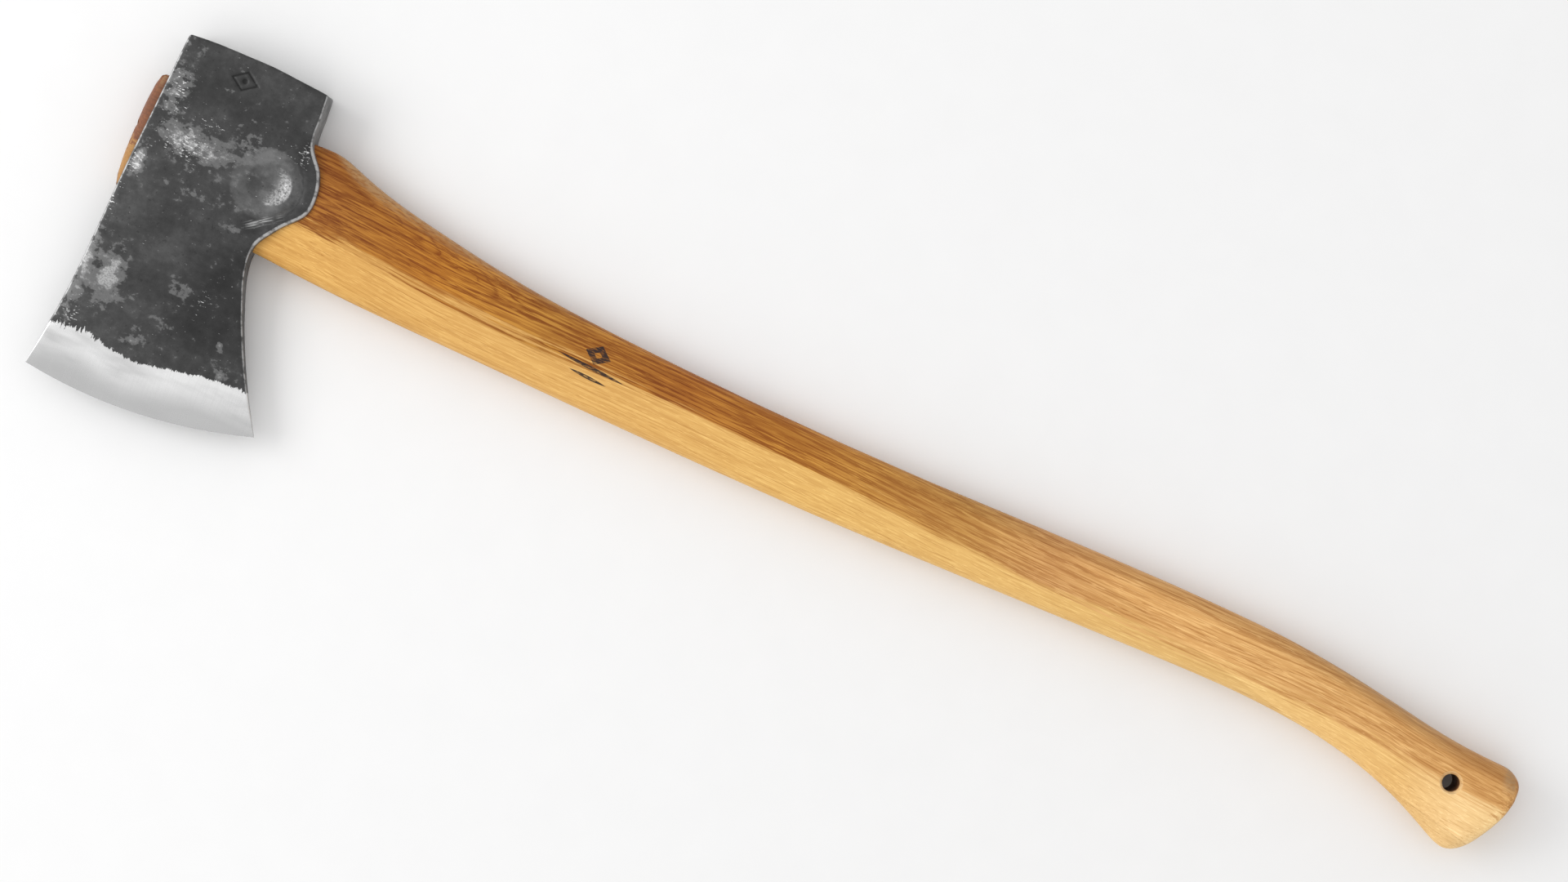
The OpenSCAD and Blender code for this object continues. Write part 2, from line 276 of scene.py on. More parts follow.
def steel_axes():
    """Middle of the steel wedge in (y, z), its directions across and through, and its half sizes."""
    co = corners_of("steel_wedge")[:, 1:]
    middle = co.mean(axis=0)
    wide = np.linalg.svd(co - middle, full_matrices=False)[2][0]
    thick = np.array([-wide[1], wide[0]])
    return middle, wide, thick, np.abs((co - middle) @ wide).max(), np.abs((co - middle) @ thick).max()


# The crown is whole from this far below the top of the steel wedge.
WHOLE_FROM = 1.0 * MM
# Down to this far below it, samples this near the wedge that reach less than this share of their
# expected distance lie in its slot.
SLOT_DOWN = 0.3 * MM
SLOT_SIDE = 0.4 * MM
SLOT_SHARE = 0.85


def bridge_slot(places, middles, radii):
    """Carry the crown's rings across the open slot above the steel wedge."""
    middle, _, thick, _, half_t = steel_axes()
    base = np.argmax(places > STEEL_LOW.x + WHOLE_FROM)
    length = np.hypot(radii[:, :, 0], radii[:, :, 1])
    guess = radii[base][None] * np.median(length / length[base], axis=1)[:, None, None]
    off = guess + np.stack([middles - middle[0], np.full(len(places), MIDDLE - middle[1])], axis=1)[:, None]
    open_slot = (np.abs(off @ thick) < half_t + SLOT_SIDE) & (places < STEEL_LOW.x + SLOT_DOWN)[:, None]
    open_slot &= np.sum(radii * guess, axis=2) < SLOT_SHARE * np.sum(guess * guess, axis=2)
    open_slot |= np.roll(open_slot, 1, axis=1) | np.roll(open_slot, -1, axis=1)
    turns = np.arange(SIDES)
    for ring, bad in zip(radii, open_slot):
        for axis in (0, 1):
            ring[bad, axis] = np.interp(turns[bad], turns[~bad], ring[~bad, axis], period=SIDES)


def bridge_gaps(places, middles, radii):
    """Carry the sides of the handle across the hanging hole, and across any other gap."""
    around = np.hypot(places[:, None] - HOLE_X, middles[:, None] + radii[:, :, 0] - HOLE_Y)
    length = np.hypot(radii[:, :, 0], radii[:, :, 1])
    typical = np.median([np.roll(length, k, axis=1) for k in range(-3, 4)], axis=0)
    broken = (around < HOLE_RADIUS + HOLE_BRIDGE) | (length < typical - GAP_DEPTH)
    for k in range(SIDES):
        bad = broken[:, k]
        for axis in (0, 1):
            radii[bad, k, axis] = np.interp(places[bad], places[~bad], radii[~bad, k, axis])


def handle_rings():
    """Smooth rings over the CAD handle and its wedges, with the hole and the open slot bridged."""
    first = surface_of("handle", "wooden_wedge", "steel_wedge")
    places = ring_places()
    sizes = np.array([section_size(first, x) for x in places])
    clear = np.abs(places - HOLE_X) > HOLE_RADIUS + HOLE_BRIDGE
    sizes[:, 2] = np.interp(places, places[clear], sizes[clear, 2])
    radii = np.array([ring_radii(first, x, *size) for x, size in zip(places, sizes)])
    middles = sizes[:, 0]
    bridge_slot(places, middles, radii)
    bridge_gaps(places, middles, radii)
    radii = smooth(radii, ALONG_MEAN)
    radii = smooth(radii.transpose(1, 0, 2), ROUND_MEAN, closed=True).transpose(1, 0, 2)
    middles = smooth(middles, ALONG_MEAN)
    rings = np.empty((len(places), SIDES, 3))
    rings[:, :, 0] = places[:, None]
    rings[:, :, 1] = middles[:, None] + radii[:, :, 0]
    rings[:, :, 2] = MIDDLE + radii[:, :, 1]
    return rings


def prism(name, rings):
    """Closed mesh through rectangles of four points each."""
    last = 4 * (len(rings) - 1)
    faces = [(3, 2, 1, 0), (last, last + 1, last + 2, last + 3)]
    for ring in range(0, last, 4):
        for k in range(4):
            n = (k + 1) % 4
            faces.append((ring + k, ring + n, ring + n + 4, ring + k + 4))
    return new_mesh(name, [point for ring in rings for point in ring], faces)


def kerf_cutter():
    """The tapered slot that the wooden wedge fills."""
    co = corners_of("wooden_wedge")
    tip = co[co[:, 0] > WEDGE_HIGH.x - 0.1 * MM][:, 2].max() - MIDDLE + FIT_GAP / 2
    top = WEDGE_HIGH.z - MIDDLE + FIT_GAP / 2
    end_x = WEDGE_HIGH.x + FIT_GAP / 2
    wide = top + (top - tip) * CUTTER_PAST / (end_x - WEDGE_LOW.x)
    low_y, high_y = WEDGE_LOW.y - KERF_PAST, WEDGE_HIGH.y + KERF_PAST
    corners = ((low_y, -1), (high_y, -1), (high_y, 1), (low_y, 1))
    return prism("kerf_cutter", [[(x, y, MIDDLE + side * half) for y, side in corners]
                                 for x, half in ((WEDGE_LOW.x - CUTTER_PAST, wide), (end_x, tip))])


def seat_cutter():
    """Room for the steel wedge, open at the crown."""
    middle, wide, thick, half_w, half_t = steel_axes()
    half_w += FIT_GAP / 2
    half_t += FIT_GAP / 2
    rings = []
    for x, t in ((STEEL_LOW.x - CUTTER_PAST, half_t), (STEEL_LOW.x, half_t),
                 (STEEL_HIGH.x + FIT_GAP, SEAT_TIP)):
        rings.append([(x, *(middle + a * half_w * wide + b * t * thick)) for a, b in SQUARE])
    return prism("seat_cutter", rings)


# The hanging hole's softened lip and countersink, in mm: how far past its end, and how much wider.
HOLE_LIP = [(-2.0, 0), (-0.5, 0.05), (0, 0.25), (0.5, 0.65), (1.2, 1.3), (4, 4.1)]
HOLE_SIDES = 96


def hole_cutter():
    """The hanging hole, with the same lip on both faces."""
    wall = HOLE_DEPTH / 2
    half = [(wall + past * MM, wider) for past, wider in HOLE_LIP]
    profile = [(-a, b) for a, b in reversed(half)] + [(-wall / 2, 0), (0, 0), (wall / 2, 0)] + half
    turns = [2 * math.pi * k / HOLE_SIDES for k in range(HOLE_SIDES)]
    rings = []
    for a, b in profile:
        radius = HOLE_RADIUS + b * MM
        rings.append([(HOLE_X + radius * math.cos(t), HOLE_Y + radius * math.sin(t), HOLE_Z + a)
                      for t in turns])
    tips = [(HOLE_X, HOLE_Y, HOLE_Z + profile[k][0]) for k in (0, -1)]
    return tube("hole_cutter", rings, *tips)


def make_handle(rings):
    first_tip = rings[0].mean(axis=0)
    last_tip = rings[-1].mean(axis=0)
    piece = tube("handle_wood", rings, first_tip, last_tip)
    for cutter in (kerf_cutter(), seat_cutter(), hole_cutter()):
        cut(piece, cutter)
    shade(piece, HANDLE_CREASE)
    return piece


# ---- Head ----

# Features of the head are placed from the middle of the poll's face, in metres.
POLL_X = HEAD_LOW.x + 0.0463
POLL_Y = HEAD_HIGH.y
# Widths of the Gaussian means, in samples: along the sides, the ends, the poll corners and the cheeks.
SIDE_MEAN = 4.0
END_MEAN = 5.0
CORNER_MEAN = 2.6
CHEEK_MEAN = 2.5
EDGE_MEAN = 3.0
# How many samples either side of a poll corner are rounded fully, and at all.
CORNER_REACH = (8, 14)
# The hammered outline wanders inwards by up to twice this much, over this length.
WANDER = 0.10 * MM
WANDER_LENGTH = 0.008
WANDER_SEED = 3.3
# It fades in between these heights above the edge.
WANDER_FROM = (0.02, 0.04)


def side_x(first, y, way):
    """How far the head reaches at height y, towards the top of the axe (-1) or the handle (1)."""
    hits = [first((way * OUTSIDE, y, MIDDLE + level), (-way, 0, 0)) for level in WALL_LEVELS]
    return way * max(way * h.x for h in hits if h)


def head_sides(first):
    """The four sides of the head's outline, as points: poll, handle side, edge, top side."""
    co = corners_of("axe_head")
    poll_left, poll_right, toe, heel = (
        co[np.argmax(a * co[:, 0] + b * co[:, 1])][:2] for a, b in ((-1, 1), (1, 1), (-1, -1), (1, -1)))
    share = np.linspace(0, 1, ROWS + 1) ** ROW_SPREAD
    across = np.linspace(0, 1, COLUMNS + 1)

    def side(top, low, way):
        y = top[1] + (low[1] - top[1]) * share
        x = [top[0]] + [side_x(first, v, way) for v in y[1:-1]] + [low[0]]
        return np.stack([smooth(np.array(x), SIDE_MEAN), y], axis=1)

    def end(left, right, way):
        x = left[0] + (right[0] - left[0]) * across
        inner = [first((v, way * OUTSIDE, MIDDLE), (0, -way, 0)).y for v in x[1:-1]]
        return np.stack([x, smooth(np.array([left[1]] + inner + [right[1]]), END_MEAN)], axis=1)

    poll, edge = end(poll_left, poll_right, 1), end(toe, heel, -1)
    return poll, side(poll_right, heel, 1), edge, side(poll_left, toe, -1)


def as_loop(poll, right, edge, left):
    return np.concatenate([poll[:-1], right[:-1], edge[:0:-1], left[:0:-1]])


def as_sides(loop):
    """The loop's four sides again, each with both of its ends."""
    a, b = COLUMNS, COLUMNS + ROWS
    c = b + COLUMNS
    closed = np.concatenate([loop, loop[:1]])
    return closed[:a + 1], closed[a:b + 1], closed[b:c + 1][::-1], closed[c:][::-1]


def outward(loop):
    ahead = np.roll(loop, -1, axis=0) - np.roll(loop, 1, axis=0)
    normal = np.stack([-ahead[:, 1], ahead[:, 0]], axis=1)
    return normal / np.linalg.norm(normal, axis=1, keepdims=True)


def patch(sides):
    """Grid of points between four sides, as (rows, columns, 2)."""
    poll, right, edge, left = sides
    u = np.linspace(0, 1, COLUMNS + 1)[None, :, None]
    s = (np.linspace(0, 1, ROWS + 1) ** ROW_SPREAD)[:, None, None]
    ends = (1 - s) * poll[None] + s * edge[None]
    walls = (1 - u) * left[:, None] + u * right[:, None]
    corners = ((1 - u) * (1 - s) * poll[0] + u * (1 - s) * poll[-1]
               + (1 - u) * s * edge[0] + u * s * edge[-1])
    return ends + walls - corners


def half_thickness(first, x, y):
    hit = first((x, y, OUTSIDE), (0, 0, -1))
    return hit.z - MIDDLE if hit else math.nan


def soften_poll_corners(loop):
    """Round the two poll corners in plan."""
    rounded = smooth(loop, CORNER_MEAN, closed=True)
    near = np.zeros(len(loop))
    for k in (0, COLUMNS):
        away = np.abs(np.arange(len(loop)) - k)
        away = np.minimum(away, len(loop) - away)
        near = np.maximum(near, 1 - ease(*CORNER_REACH, away))
    return loop + (rounded - loop) * near[:, None]


# Dents in the cheeks: middle, reach each way (towards the top, the handle, up and down) and depth.
DENT = dict(at=(0.0390, -0.0577), left=0.014, right=0.0102, tall=0.0120, deep=3.0 * MM)
DIMPLE = dict(at=(0.0385, -0.0810), left=0.010, right=0.008, tall=0.006, deep=0.9 * MM)


def dent(x, y, at, left, right, tall, deep):
    dx, dy = x - POLL_X - at[0], y - POLL_Y - at[1]
    across = np.where(dx < 0, dx / left, dx / right)
    inside = np.clip(1 - across ** 2 - (dy / tall) ** 2, 0, 1)
    return -deep * inside ** 1.25


# The ears' crease runs round the swell of the eye: its middle from the middle of the poll, and radius.
SWELL = (0.0357, -0.0581)
SWELL_REACH = 18.8 * MM
# It fades in across the swell's middle, and has a slight lip inside it. Depth and height in mm.
CREASE_FADE = (-0.006, 0.006)
CREASE_DEEP = 0.75
CREASE_WIDE = 1.7 * MM
LIP_HIGH = 0.35
LIP_INSIDE = 3.2 * MM
LIP_WIDE = 2.0 * MM
# Where the ear's free edge fades in towards the handle, in from below and out above.
EAR_ACROSS = (0.028, 0.034)
EAR_BELOW = (-0.096, -0.088)
EAR_ABOVE = (-0.036, -0.026)
# How bright the edges are rubbed: plain sides, the ears, and the poll.
EDGE_WEAR = (0.75, 1.0)
POLL_WEAR = 0.2
# Shares of that on the cheek's rim, and on the half of the rounding that faces sideways.
RIM_WEAR = 0.6
SIDE_WEAR = 0.4


def on_ear(points):
    """1 along the ear's free edge, 0 elsewhere."""
    dx, dy = points[:, 0] - POLL_X, points[:, 1] - POLL_Y
    return ease(*EAR_ACROSS, dx) * ease(*EAR_BELOW, dy) * (1 - ease(*EAR_ABOVE, dy))


def crease(x, y):
    """The line where the ear is drawn down from the swell, with a slight lip inside it."""
    dx, dy = x - POLL_X - SWELL[0], y - POLL_Y - SWELL[1]
    away = np.hypot(dx, dy) - SWELL_REACH
    here = ease(*CREASE_FADE, dx)
    return here * (-CREASE_DEEP * np.exp(-(away / CREASE_WIDE) ** 2)
                   + LIP_HIGH * np.exp(-((away + LIP_INSIDE) / LIP_WIDE) ** 2)) * MM


# A plain stamped mark: its middle from the middle of the poll, half sizes and depth.
STAMP = (0.0045, -0.0130)
STAMP_HALF = (7.0 * MM, 5.0 * MM)
STAMP_DEEP = 0.7 * MM
# As shares of the half sizes: the width of its line, and the size and squash of its dot.
STAMP_LINE = 0.17
STAMP_DOT = 0.36
DOT_SQUASH = 1.4


def stamp(x, y):
    """1 at the bottom of a stamped rhombus with a round dot in it."""
    dx, dy = (x - POLL_X - STAMP[0]) / STAMP_HALF[0], (y - POLL_Y - STAMP[1]) / STAMP_HALF[1]
    rim = np.abs(dx) + np.abs(dy)
    dot = np.hypot(dx * DOT_SQUASH, dy) / STAMP_DOT
    return np.exp(-((rim - 1) / STAMP_LINE) ** 2) + np.exp(-dot ** 4)


# The hammered unevenness of the cheeks, as (height in mm, length, step of the seed).
HAMMERED = [(0.20, 0.030, 0), (0.09, 0.011, 5), (0.035, 0.0035, 9)]
CHEEK_SEEDS = (1.7, 41.2)
# It fades in between these heights above the edge, so the ground bevel stays smooth.
FORGED_FROM = (0.024, 0.034)


def relief(x, y, seed, stamped):
    """What forging left on a cheek, as a change of height."""
    forged = ease(*FORGED_FROM, y - HEAD_LOW.y)
    waves = sum(high * bumps(x, y, length, seed + step) for high, length, step in HAMMERED) * MM
    marks = dent(x, y, **DENT) + dent(x, y, **DIMPLE) + crease(x, y)
    if stamped:
        marks = marks - STAMP_DEEP * stamp(x, y)
    return forged * (waves + marks)


def rounded_outline(first):
    """The outline inside its rounded edge, its outward directions, the rounding, and where it is ear."""
    loop = soften_poll_corners(as_loop(*head_sides(first)))
    normal = outward(loop)
    thick = np.array([half_thickness(first, *p) for p in loop - normal * MEASURE_INSET])
    ear = on_ear(loop)
    rounding = EDGE_ROUNDING + (EAR_ROUNDING - EDGE_ROUNDING) * ear
    rounding = np.minimum(rounding, ROUNDING_SHARE * np.nan_to_num(thick, nan=EDGE_THICK))
    rounding = smooth(rounding, EDGE_MEAN, closed=True)
    wobble = WANDER * ease(*WANDER_FROM, loop[:, 1] - HEAD_LOW.y)
    bumpy = 1 + bumps(loop[:, 0], loop[:, 1], WANDER_LENGTH, WANDER_SEED)
    loop = loop - normal * (wobble * bumpy)[:, None]
    return loop - normal * rounding[:, None], normal, rounding, ear


def cheeks(first, inner):
    """Grid of (x, y) points within the rounded edge, and half the head's thickness on either side."""
    grid = patch(as_sides(inner))
    x, y = grid[:, :, 0], grid[:, :, 1]
    half = np.array([half_thickness(first, a, b) for a, b in zip(x.ravel(), y.ravel())]).reshape(x.shape)
    half = np.where(np.isnan(half), np.nanmin(half), half)
    half = smooth(smooth(half, CHEEK_MEAN).T, CHEEK_MEAN).T
    sides = [half + relief(x, y, seed, marked) for seed, marked in zip(CHEEK_SEEDS, (True, False))]
    return grid.reshape(-1, 2), sides[0].ravel(), sides[1].ravel()


def edge_loops(inner, normal, rounding, rubbed, high, low):
    """Loops from the rim of one cheek to the other's, as (points, wear, how far they face sideways)."""
    loops = []

    def arc(side, heights, order):
        for k in order:
            turn = math.pi / 2 * k / ARC_STEPS
            out = inner + normal * (rounding * math.sin(turn))[:, None]
            z = MIDDLE + side * (heights - rounding * (1 - math.cos(turn)))
            share = k / ARC_STEPS
            loops.append((np.column_stack([out, z]), rubbed * (1.0 if share <= 0.5 else SIDE_WEAR), share))

    arc(1, high, range(1, ARC_STEPS + 1))
    upper, lower = MIDDLE + high - rounding, MIDDLE - low + rounding
    for k in range(1, WALL_STEPS):
        z = upper + (lower - upper) * k / WALL_STEPS
        loops.append((np.column_stack([inner + normal * rounding[:, None], z]), 0 * rubbed, 1))
    arc(-1, low, range(ARC_STEPS, 0, -1))
    return loops


def head_faces(index, chain):
    """Faces of both cheeks, and of the bands between the loops of the chain."""
    faces = []
    under = index.size
    for j in range(ROWS):
        for i in range(COLUMNS):
            a, b, c, d = index[j, i], index[j, i + 1], index[j + 1, i + 1], index[j + 1, i]
            faces.append((a, d, c, b))
            faces.append((a + under, b + under, c + under, d + under))
    for upper, lower in zip(chain, chain[1:]):
        for i in range(len(upper)):
            n = (i + 1) % len(upper)
            faces.append((upper[i], upper[n], lower[n], lower[i]))
    return [tuple(int(v) for v in f) for f in faces]


def make_head(tongue_rings):
    first = surface_of("axe_head")
    inner, normal, rounding, ear = rounded_outline(first)
    flat, high, low = cheeks(first, inner)
    index = np.arange(len(flat)).reshape(ROWS + 1, COLUMNS + 1)
    rim = np.concatenate([index[0, :-1], index[:-1, -1], index[-1, :0:-1], index[:0:-1, 0]])
    rubbed = EDGE_WEAR[0] + (EDGE_WEAR[1] - EDGE_WEAR[0]) * ear
    rubbed[:COLUMNS] = POLL_WEAR
    worn = np.zeros(len(flat))
    worn[rim] = RIM_WEAR * rubbed
    points = [np.column_stack([flat, MIDDLE + high]), np.column_stack([flat, MIDDLE - low])]
    wear, wall = [worn, worn], [0 * worn, 0 * worn]

    start = 2 * len(flat)
    chain = [rim]
    for ring, value, share in edge_loops(inner, normal, rounding, rubbed, high[rim], low[rim]):
        chain.append(start + np.arange(len(ring)))
        start += len(ring)
        points.append(ring)
        wear.append(value)
        wall.append(np.full(len(ring), share))
    chain.append(rim + len(flat))

    points, wear, wall = np.concatenate(points), np.concatenate(wear), np.concatenate(wall)
    piece = new_mesh("forged_head", points, head_faces(index, chain))
    cut(piece, eye_cutter(tongue_rings))
    paint_head(piece, points, wear, wall)
    shade(piece, HEAD_CREASE)
    return piece


# The eye is cut with the rings from this far inside the head's left end to this far inside its right
# one, and carried on this far past the top of the head.
EYE_FROM = 9.6 * MM
EYE_TO = 8 * MM
EYE_PAST = 15 * MM


def eye_cutter(rings):
    """The tongue, grown by the fit, and carried straight on past the top of the head."""
    inside = [r for r in rings if HEAD_LOW.x + EYE_FROM < r[0][0] < HEAD_HIGH.x - EYE_TO]
    grown = []
    for ring in inside:
        ahead = np.roll(ring, -1, axis=0) - np.roll(ring, 1, axis=0)
        normal = np.stack([np.zeros(SIDES), ahead[:, 2], -ahead[:, 1]], axis=1)
        normal /= np.linalg.norm(normal, axis=1, keepdims=True)
        grown.append(ring + normal * FIT_GAP)
    out = grown[0].copy()
    out[:, 0] -= EYE_PAST
    grown = [out] + grown
    return tube("eye_cutter", grown, grown[0].mean(axis=0), grown[-1].mean(axis=0))


# Upper limit of the ground bevel, as (share of the edge, height above the lowest point of the edge).
GROUND_LINE = [(0, 24.5), (0.05, 28.6), (0.2, 30.0), (0.3, 26.8), (0.42, 25.4), (0.55, 28.2),
               (0.7, 32.2), (0.85, 33.6), (1, 33.2)]
# Pale places in the scale: middle from the middle of the poll, size and strength.
CLOUDS = [((-0.0265, -0.0310), (0.0065, 0.012), 0.7), ((-0.0120, -0.0525), (0.015, 0.0085), 0.66),
          ((0.006, -0.056), (0.016, 0.010), 0.40), ((0.020, -0.044), (0.014, 0.008), 0.30),
          ((-0.0309, -0.0730), (0.0035, 0.006), 1.2), ((-0.0225, -0.1356), (0.0085, 0.014), 1.0),
          ((-0.0365, -0.138), (0.004, 0.024), 0.7), ((0.0148, -0.1267), (0.006, 0.007), 0.5),
          ((-0.0001, -0.1605), (0.008, 0.004), 0.45), ((0.0526, -0.1595), (0.006, 0.003), 0.6),
          ((0.006, -0.077), (0.03, 0.005), 0.18), ((0.0290, -0.0865), (0.006, 0.003), 0.5),
          ((-0.030, -0.006), (0.012, 0.005), 0.4), ((0.0450, -0.1455), (0.002, 0.002), 0.8),
          ((0.015, -0.150), (0.012, 0.006), 0.25)]
# Darker scale, in the same form. The one at the left wall of the dent is painted shade.
DARKS = [((0.034, -0.137), (0.020, 0.022), 1.2), ((0.010, -0.022), (0.035, 0.016), 0.6),
         ((0.0290, -0.0600), (0.0075, 0.009), 0.9), ((0.0480, -0.036), (0.005, 0.008), 0.5),
         ((0.036, -0.082), (0.007, 0.004), 0.8), ((0.012, -0.100), (0.03, 0.012), 0.3),
         ((-0.018, -0.030), (0.004, 0.012), 0.5), ((0.034, -0.110), (0.012, 0.02), 0.6)]
# Scuffed places, where bright specks show through the scale, in the same form.
SCUFFS = [((-0.010, -0.0560), (0.016, 0.0085), 1.0), ((-0.0255, -0.031), (0.006, 0.013), 0.9),
          ((-0.0309, -0.0730), (0.0035, 0.006), 1.5), ((0.027, -0.128), (0.006, 0.008), 0.6),
          ((-0.0335, -0.160), (0.007, 0.007), 0.9), ((0.0485, -0.036), (0.004, 0.008), 0.9),
          ((-0.036, -0.100), (0.005, 0.018), 0.6), ((-0.004, -0.0405), (0.016, 0.003), 0.55),
          ((0.034, -0.040), (0.012, 0.003), 0.35)]
# The wall of the dent, worn and also brightened as a painted highlight: a disc, and the disc that is left
# out of it, as (middle, radius).
DENT_WALL = ((0.0387, -0.0578), 10.5 * MM)
DENT_FLOOR = ((0.0328, -0.0556), 9.6 * MM)
# Scratches below the dent, and the way they run.
SCRATCHES = ((0.0420, -0.0765), (0.012, 0.0035))
SCRATCH_TURN = math.radians(35)
# Points of the cut head this near an old one are the old ones.
SAME_PLACE = 0.01 * MM


def paint_head(piece, old_points, old_wear, old_wall):
    """Attributes for the steel: rubbed edges, side walls, the way into the bevel, stamp and patches."""
    tree = kdtree.KDTree(len(old_points))
    for i, p in enumerate(old_points):
        tree.insert(p, i)
    tree.balance()
    co = positions(piece)
    wear, wall = np.zeros(len(co)), np.ones(len(co))
    for i, p in enumerate(co):
        _, k, away = tree.find(p)
        if away < SAME_PLACE:
            wear[i], wall[i] = old_wear[k], old_wall[k]
    share = (co[:, 0] - HEAD_LOW.x) / (HEAD_HIGH.x - HEAD_LOW.x)
    line = np.interp(share, *zip(*GROUND_LINE)) * MM + HEAD_LOW.y
    ground = (line - co[:, 1]) / MM
    dx, dy = co[:, 0] - POLL_X, co[:, 1] - POLL_Y
    set_attribute(piece, "wear", wear)
    set_attribute(piece, "wall", wall)
    set_attribute(piece, "ground", ground)
    set_attribute(piece, "stamped", np.where(co[:, 2] > MIDDLE, stamp(co[:, 0], co[:, 1]), 0))
    for name, places in (("cloud", CLOUDS), ("dark", DARKS), ("scuff", SCUFFS)):
        total = sum(k * spot(dx, dy, at, size) for at, size, k in places)
        set_attribute(piece, name, np.clip(total, 0, 1))


# ---- Materials ----

# Noises, as (cycles a metre, the same each way or along x, y and z; detail; roughness).
NOISES = dict(
    # Wood: the wandering of its layers, then its fibres from coarse to fine.
    slow=((5, 22, 22), 1, 0.5), quick=((16, 70, 70), 2, 0.5),
    fibre=((9, 420, 420), 3, 0.65), streak=((26, 900, 900), 2, 0.6), fine=((60, 1250, 1250), 2, 0.6),
    pores=((120, 2400, 2400), 1, 0.5), threads=((13, 1500, 1500), 1, 0.5),
    dashes=((160, 2700, 2700), 1, 0.5), cloudy=((12, 60, 60), 2, 0.5),
    flecks=((260, 900, 300), 2, 0.6), ink=((300, 1300, 1300), 2, 0.5),
    wedge_rings=((30, 60, 900), 3, 0.6), wedge_specks=((900, 900, 900), 2, 0.5),
    # Steel: its forge scale, its marks, and the ground bevel.
    clouds=(48, 4, 0.62), mottle=((190, 240, 220), 5, 0.62), grain=(1300, 2, 0.6),
    strokes=((330, 1000, 900), 3, 0.7), scratches=((110, 1500, 300), 2, 0.6), worn=(700, 3, 0.7),
    pits=(420, 2, 0.5), nicks=((900, 130, 400), 3, 0.7), brushed=((900, 40, 300), 2, 0.5),
    smears=((26, 90, 30), 3, 0.5), mild=(500, 4, 0.6),
    # Floor.
    speckle=(40, 2, 0.5))


class Graph:
    """A material's nodes, with short calls that return output sockets."""

    def __init__(self, name):
        self.material = bpy.data.materials.new(name)
        self.material.use_nodes = True
        self.tree = self.material.node_tree
        self.shader = self.tree.nodes["Principled BSDF"]

    def put(self, socket, value):
        if isinstance(value, bpy.types.NodeSocket):
            self.tree.links.new(value, socket)
        else:
            socket.default_value = value

    def node(self, kind, inputs=None, output=0, **settings):
        """One output of a new node, with these settings and inputs."""
        made = self.tree.nodes.new(kind)
        for key, value in settings.items():
            setattr(made, key, value)
        for key, value in (inputs or {}).items():
            self.put(made.inputs[key], value)
        return made.outputs[output]

    def math(self, operation, a, b=0.0):
        return self.node("ShaderNodeMath", {0: a, 1: b}, operation=operation)

    def place(self, kind="Object"):
        return self.node("ShaderNodeTexCoord", output=kind)

    def split(self, vector):
        made = self.tree.nodes.new("ShaderNodeSeparateXYZ")
        self.put(made.inputs[0], vector)
        return made.outputs

    def join(self, x, y, z):
        return self.node("ShaderNodeCombineXYZ", {0: x, 1: y, 2: z})

    def noise(self, vector, kind):
        """One of NOISES over this vector."""
        scale, detail, roughness = NOISES[kind]
        if isinstance(scale, tuple):
            vector = self.node("ShaderNodeVectorMath", {0: vector, 1: scale}, operation="MULTIPLY")
            scale = 1.0
        return self.node("ShaderNodeTexNoise", {"Vector": vector, "Scale": scale, "Detail": detail,
                                                "Roughness": roughness})

    def between(self, value, low, high, to_low=0.0, to_high=1.0):
        """value from low to high, eased to to_low to to_high."""
        return self.node("ShaderNodeMapRange", {"Value": value, "From Min": low, "From Max": high,
                                                "To Min": to_low, "To Max": to_high},
                         interpolation_type="SMOOTHSTEP")

    def ramp(self, value, stops):
        """Colour ramp through (place, colour) stops, where a colour is hexadecimal or a grey level."""
        made = self.tree.nodes.new("ShaderNodeValToRGB")
        self.put(made.inputs[0], value)
        elements = made.color_ramp.elements
        while len(elements) < len(stops):
            elements.new(0.5)
        for element, (at, colour) in zip(elements, stops):
            element.position = at
            element.color = rgb(colour) if isinstance(colour, str) else (colour, colour, colour, 1)
        return made.outputs[0]

    def mix(self, share, a, b, blend="MIX"):
        """Two colours mixed, where b may be a hexadecimal one."""
        b = rgb(b) if isinstance(b, str) else b
        return self.node("ShaderNodeMix", {"Factor": share, 6: a, 7: b}, 2,
                         data_type="RGBA", blend_type=blend)

    def lay(self, colour, top, *shares):
        """A colour with another laid over it, as opaque as the product of the shares."""
        return self.mix(self.mul(*shares), colour, top)

    def tinted(self, colour, tint):
        """A colour multiplied by three factors."""
        return self.mix(1.0, colour, (*tint, 1), "MULTIPLY")

    def sub(self, a, b):
        return self.math("SUBTRACT", a, b)

    def add(self, a, b):
        return self.math("ADD", a, b)

    def length(self, a, b):
        """Length of the vector (a, b)."""
        return self.math("SQRT", self.add(self.math("MULTIPLY", a, a), self.math("MULTIPLY", b, b)))

    def mul(self, *parts):
        result = parts[0]
        for part in parts[1:]:
            result = self.math("MULTIPLY", result, part)
        return result

    def attribute(self, name):
        return self.node("ShaderNodeAttribute", output="Fac", attribute_name=name)

    def bump(self, height, strength, distance):
        normal = self.node("ShaderNodeBump", {"Height": height, "Strength": strength, "Distance": distance})
        self.put(self.shader.inputs["Normal"], normal)

    def finish(self, colour, roughness, metallic=0.0):
        for name, value in (("Base Color", colour), ("Roughness", roughness), ("Metallic", metallic)):
            self.put(self.shader.inputs[name], value)
        return self.material


def rgb(code):
    """Linear colour of a hexadecimal one."""
    parts = [int(code[k:k + 2], 16) / 255 for k in (0, 2, 4)]
    return (*[c / 12.92 if c <= 0.04045 else ((c + 0.055) / 1.055) ** 2.4 for c in parts], 1)


def inside_disc(g, dx, dy, disc, soft):
    """1 inside a (middle, radius) disc, easing to 0 over a soft edge."""
    (x, y), radius = disc
    return g.between(g.length(g.sub(dx, x), g.sub(dy, y)), radius + soft, radius - soft)


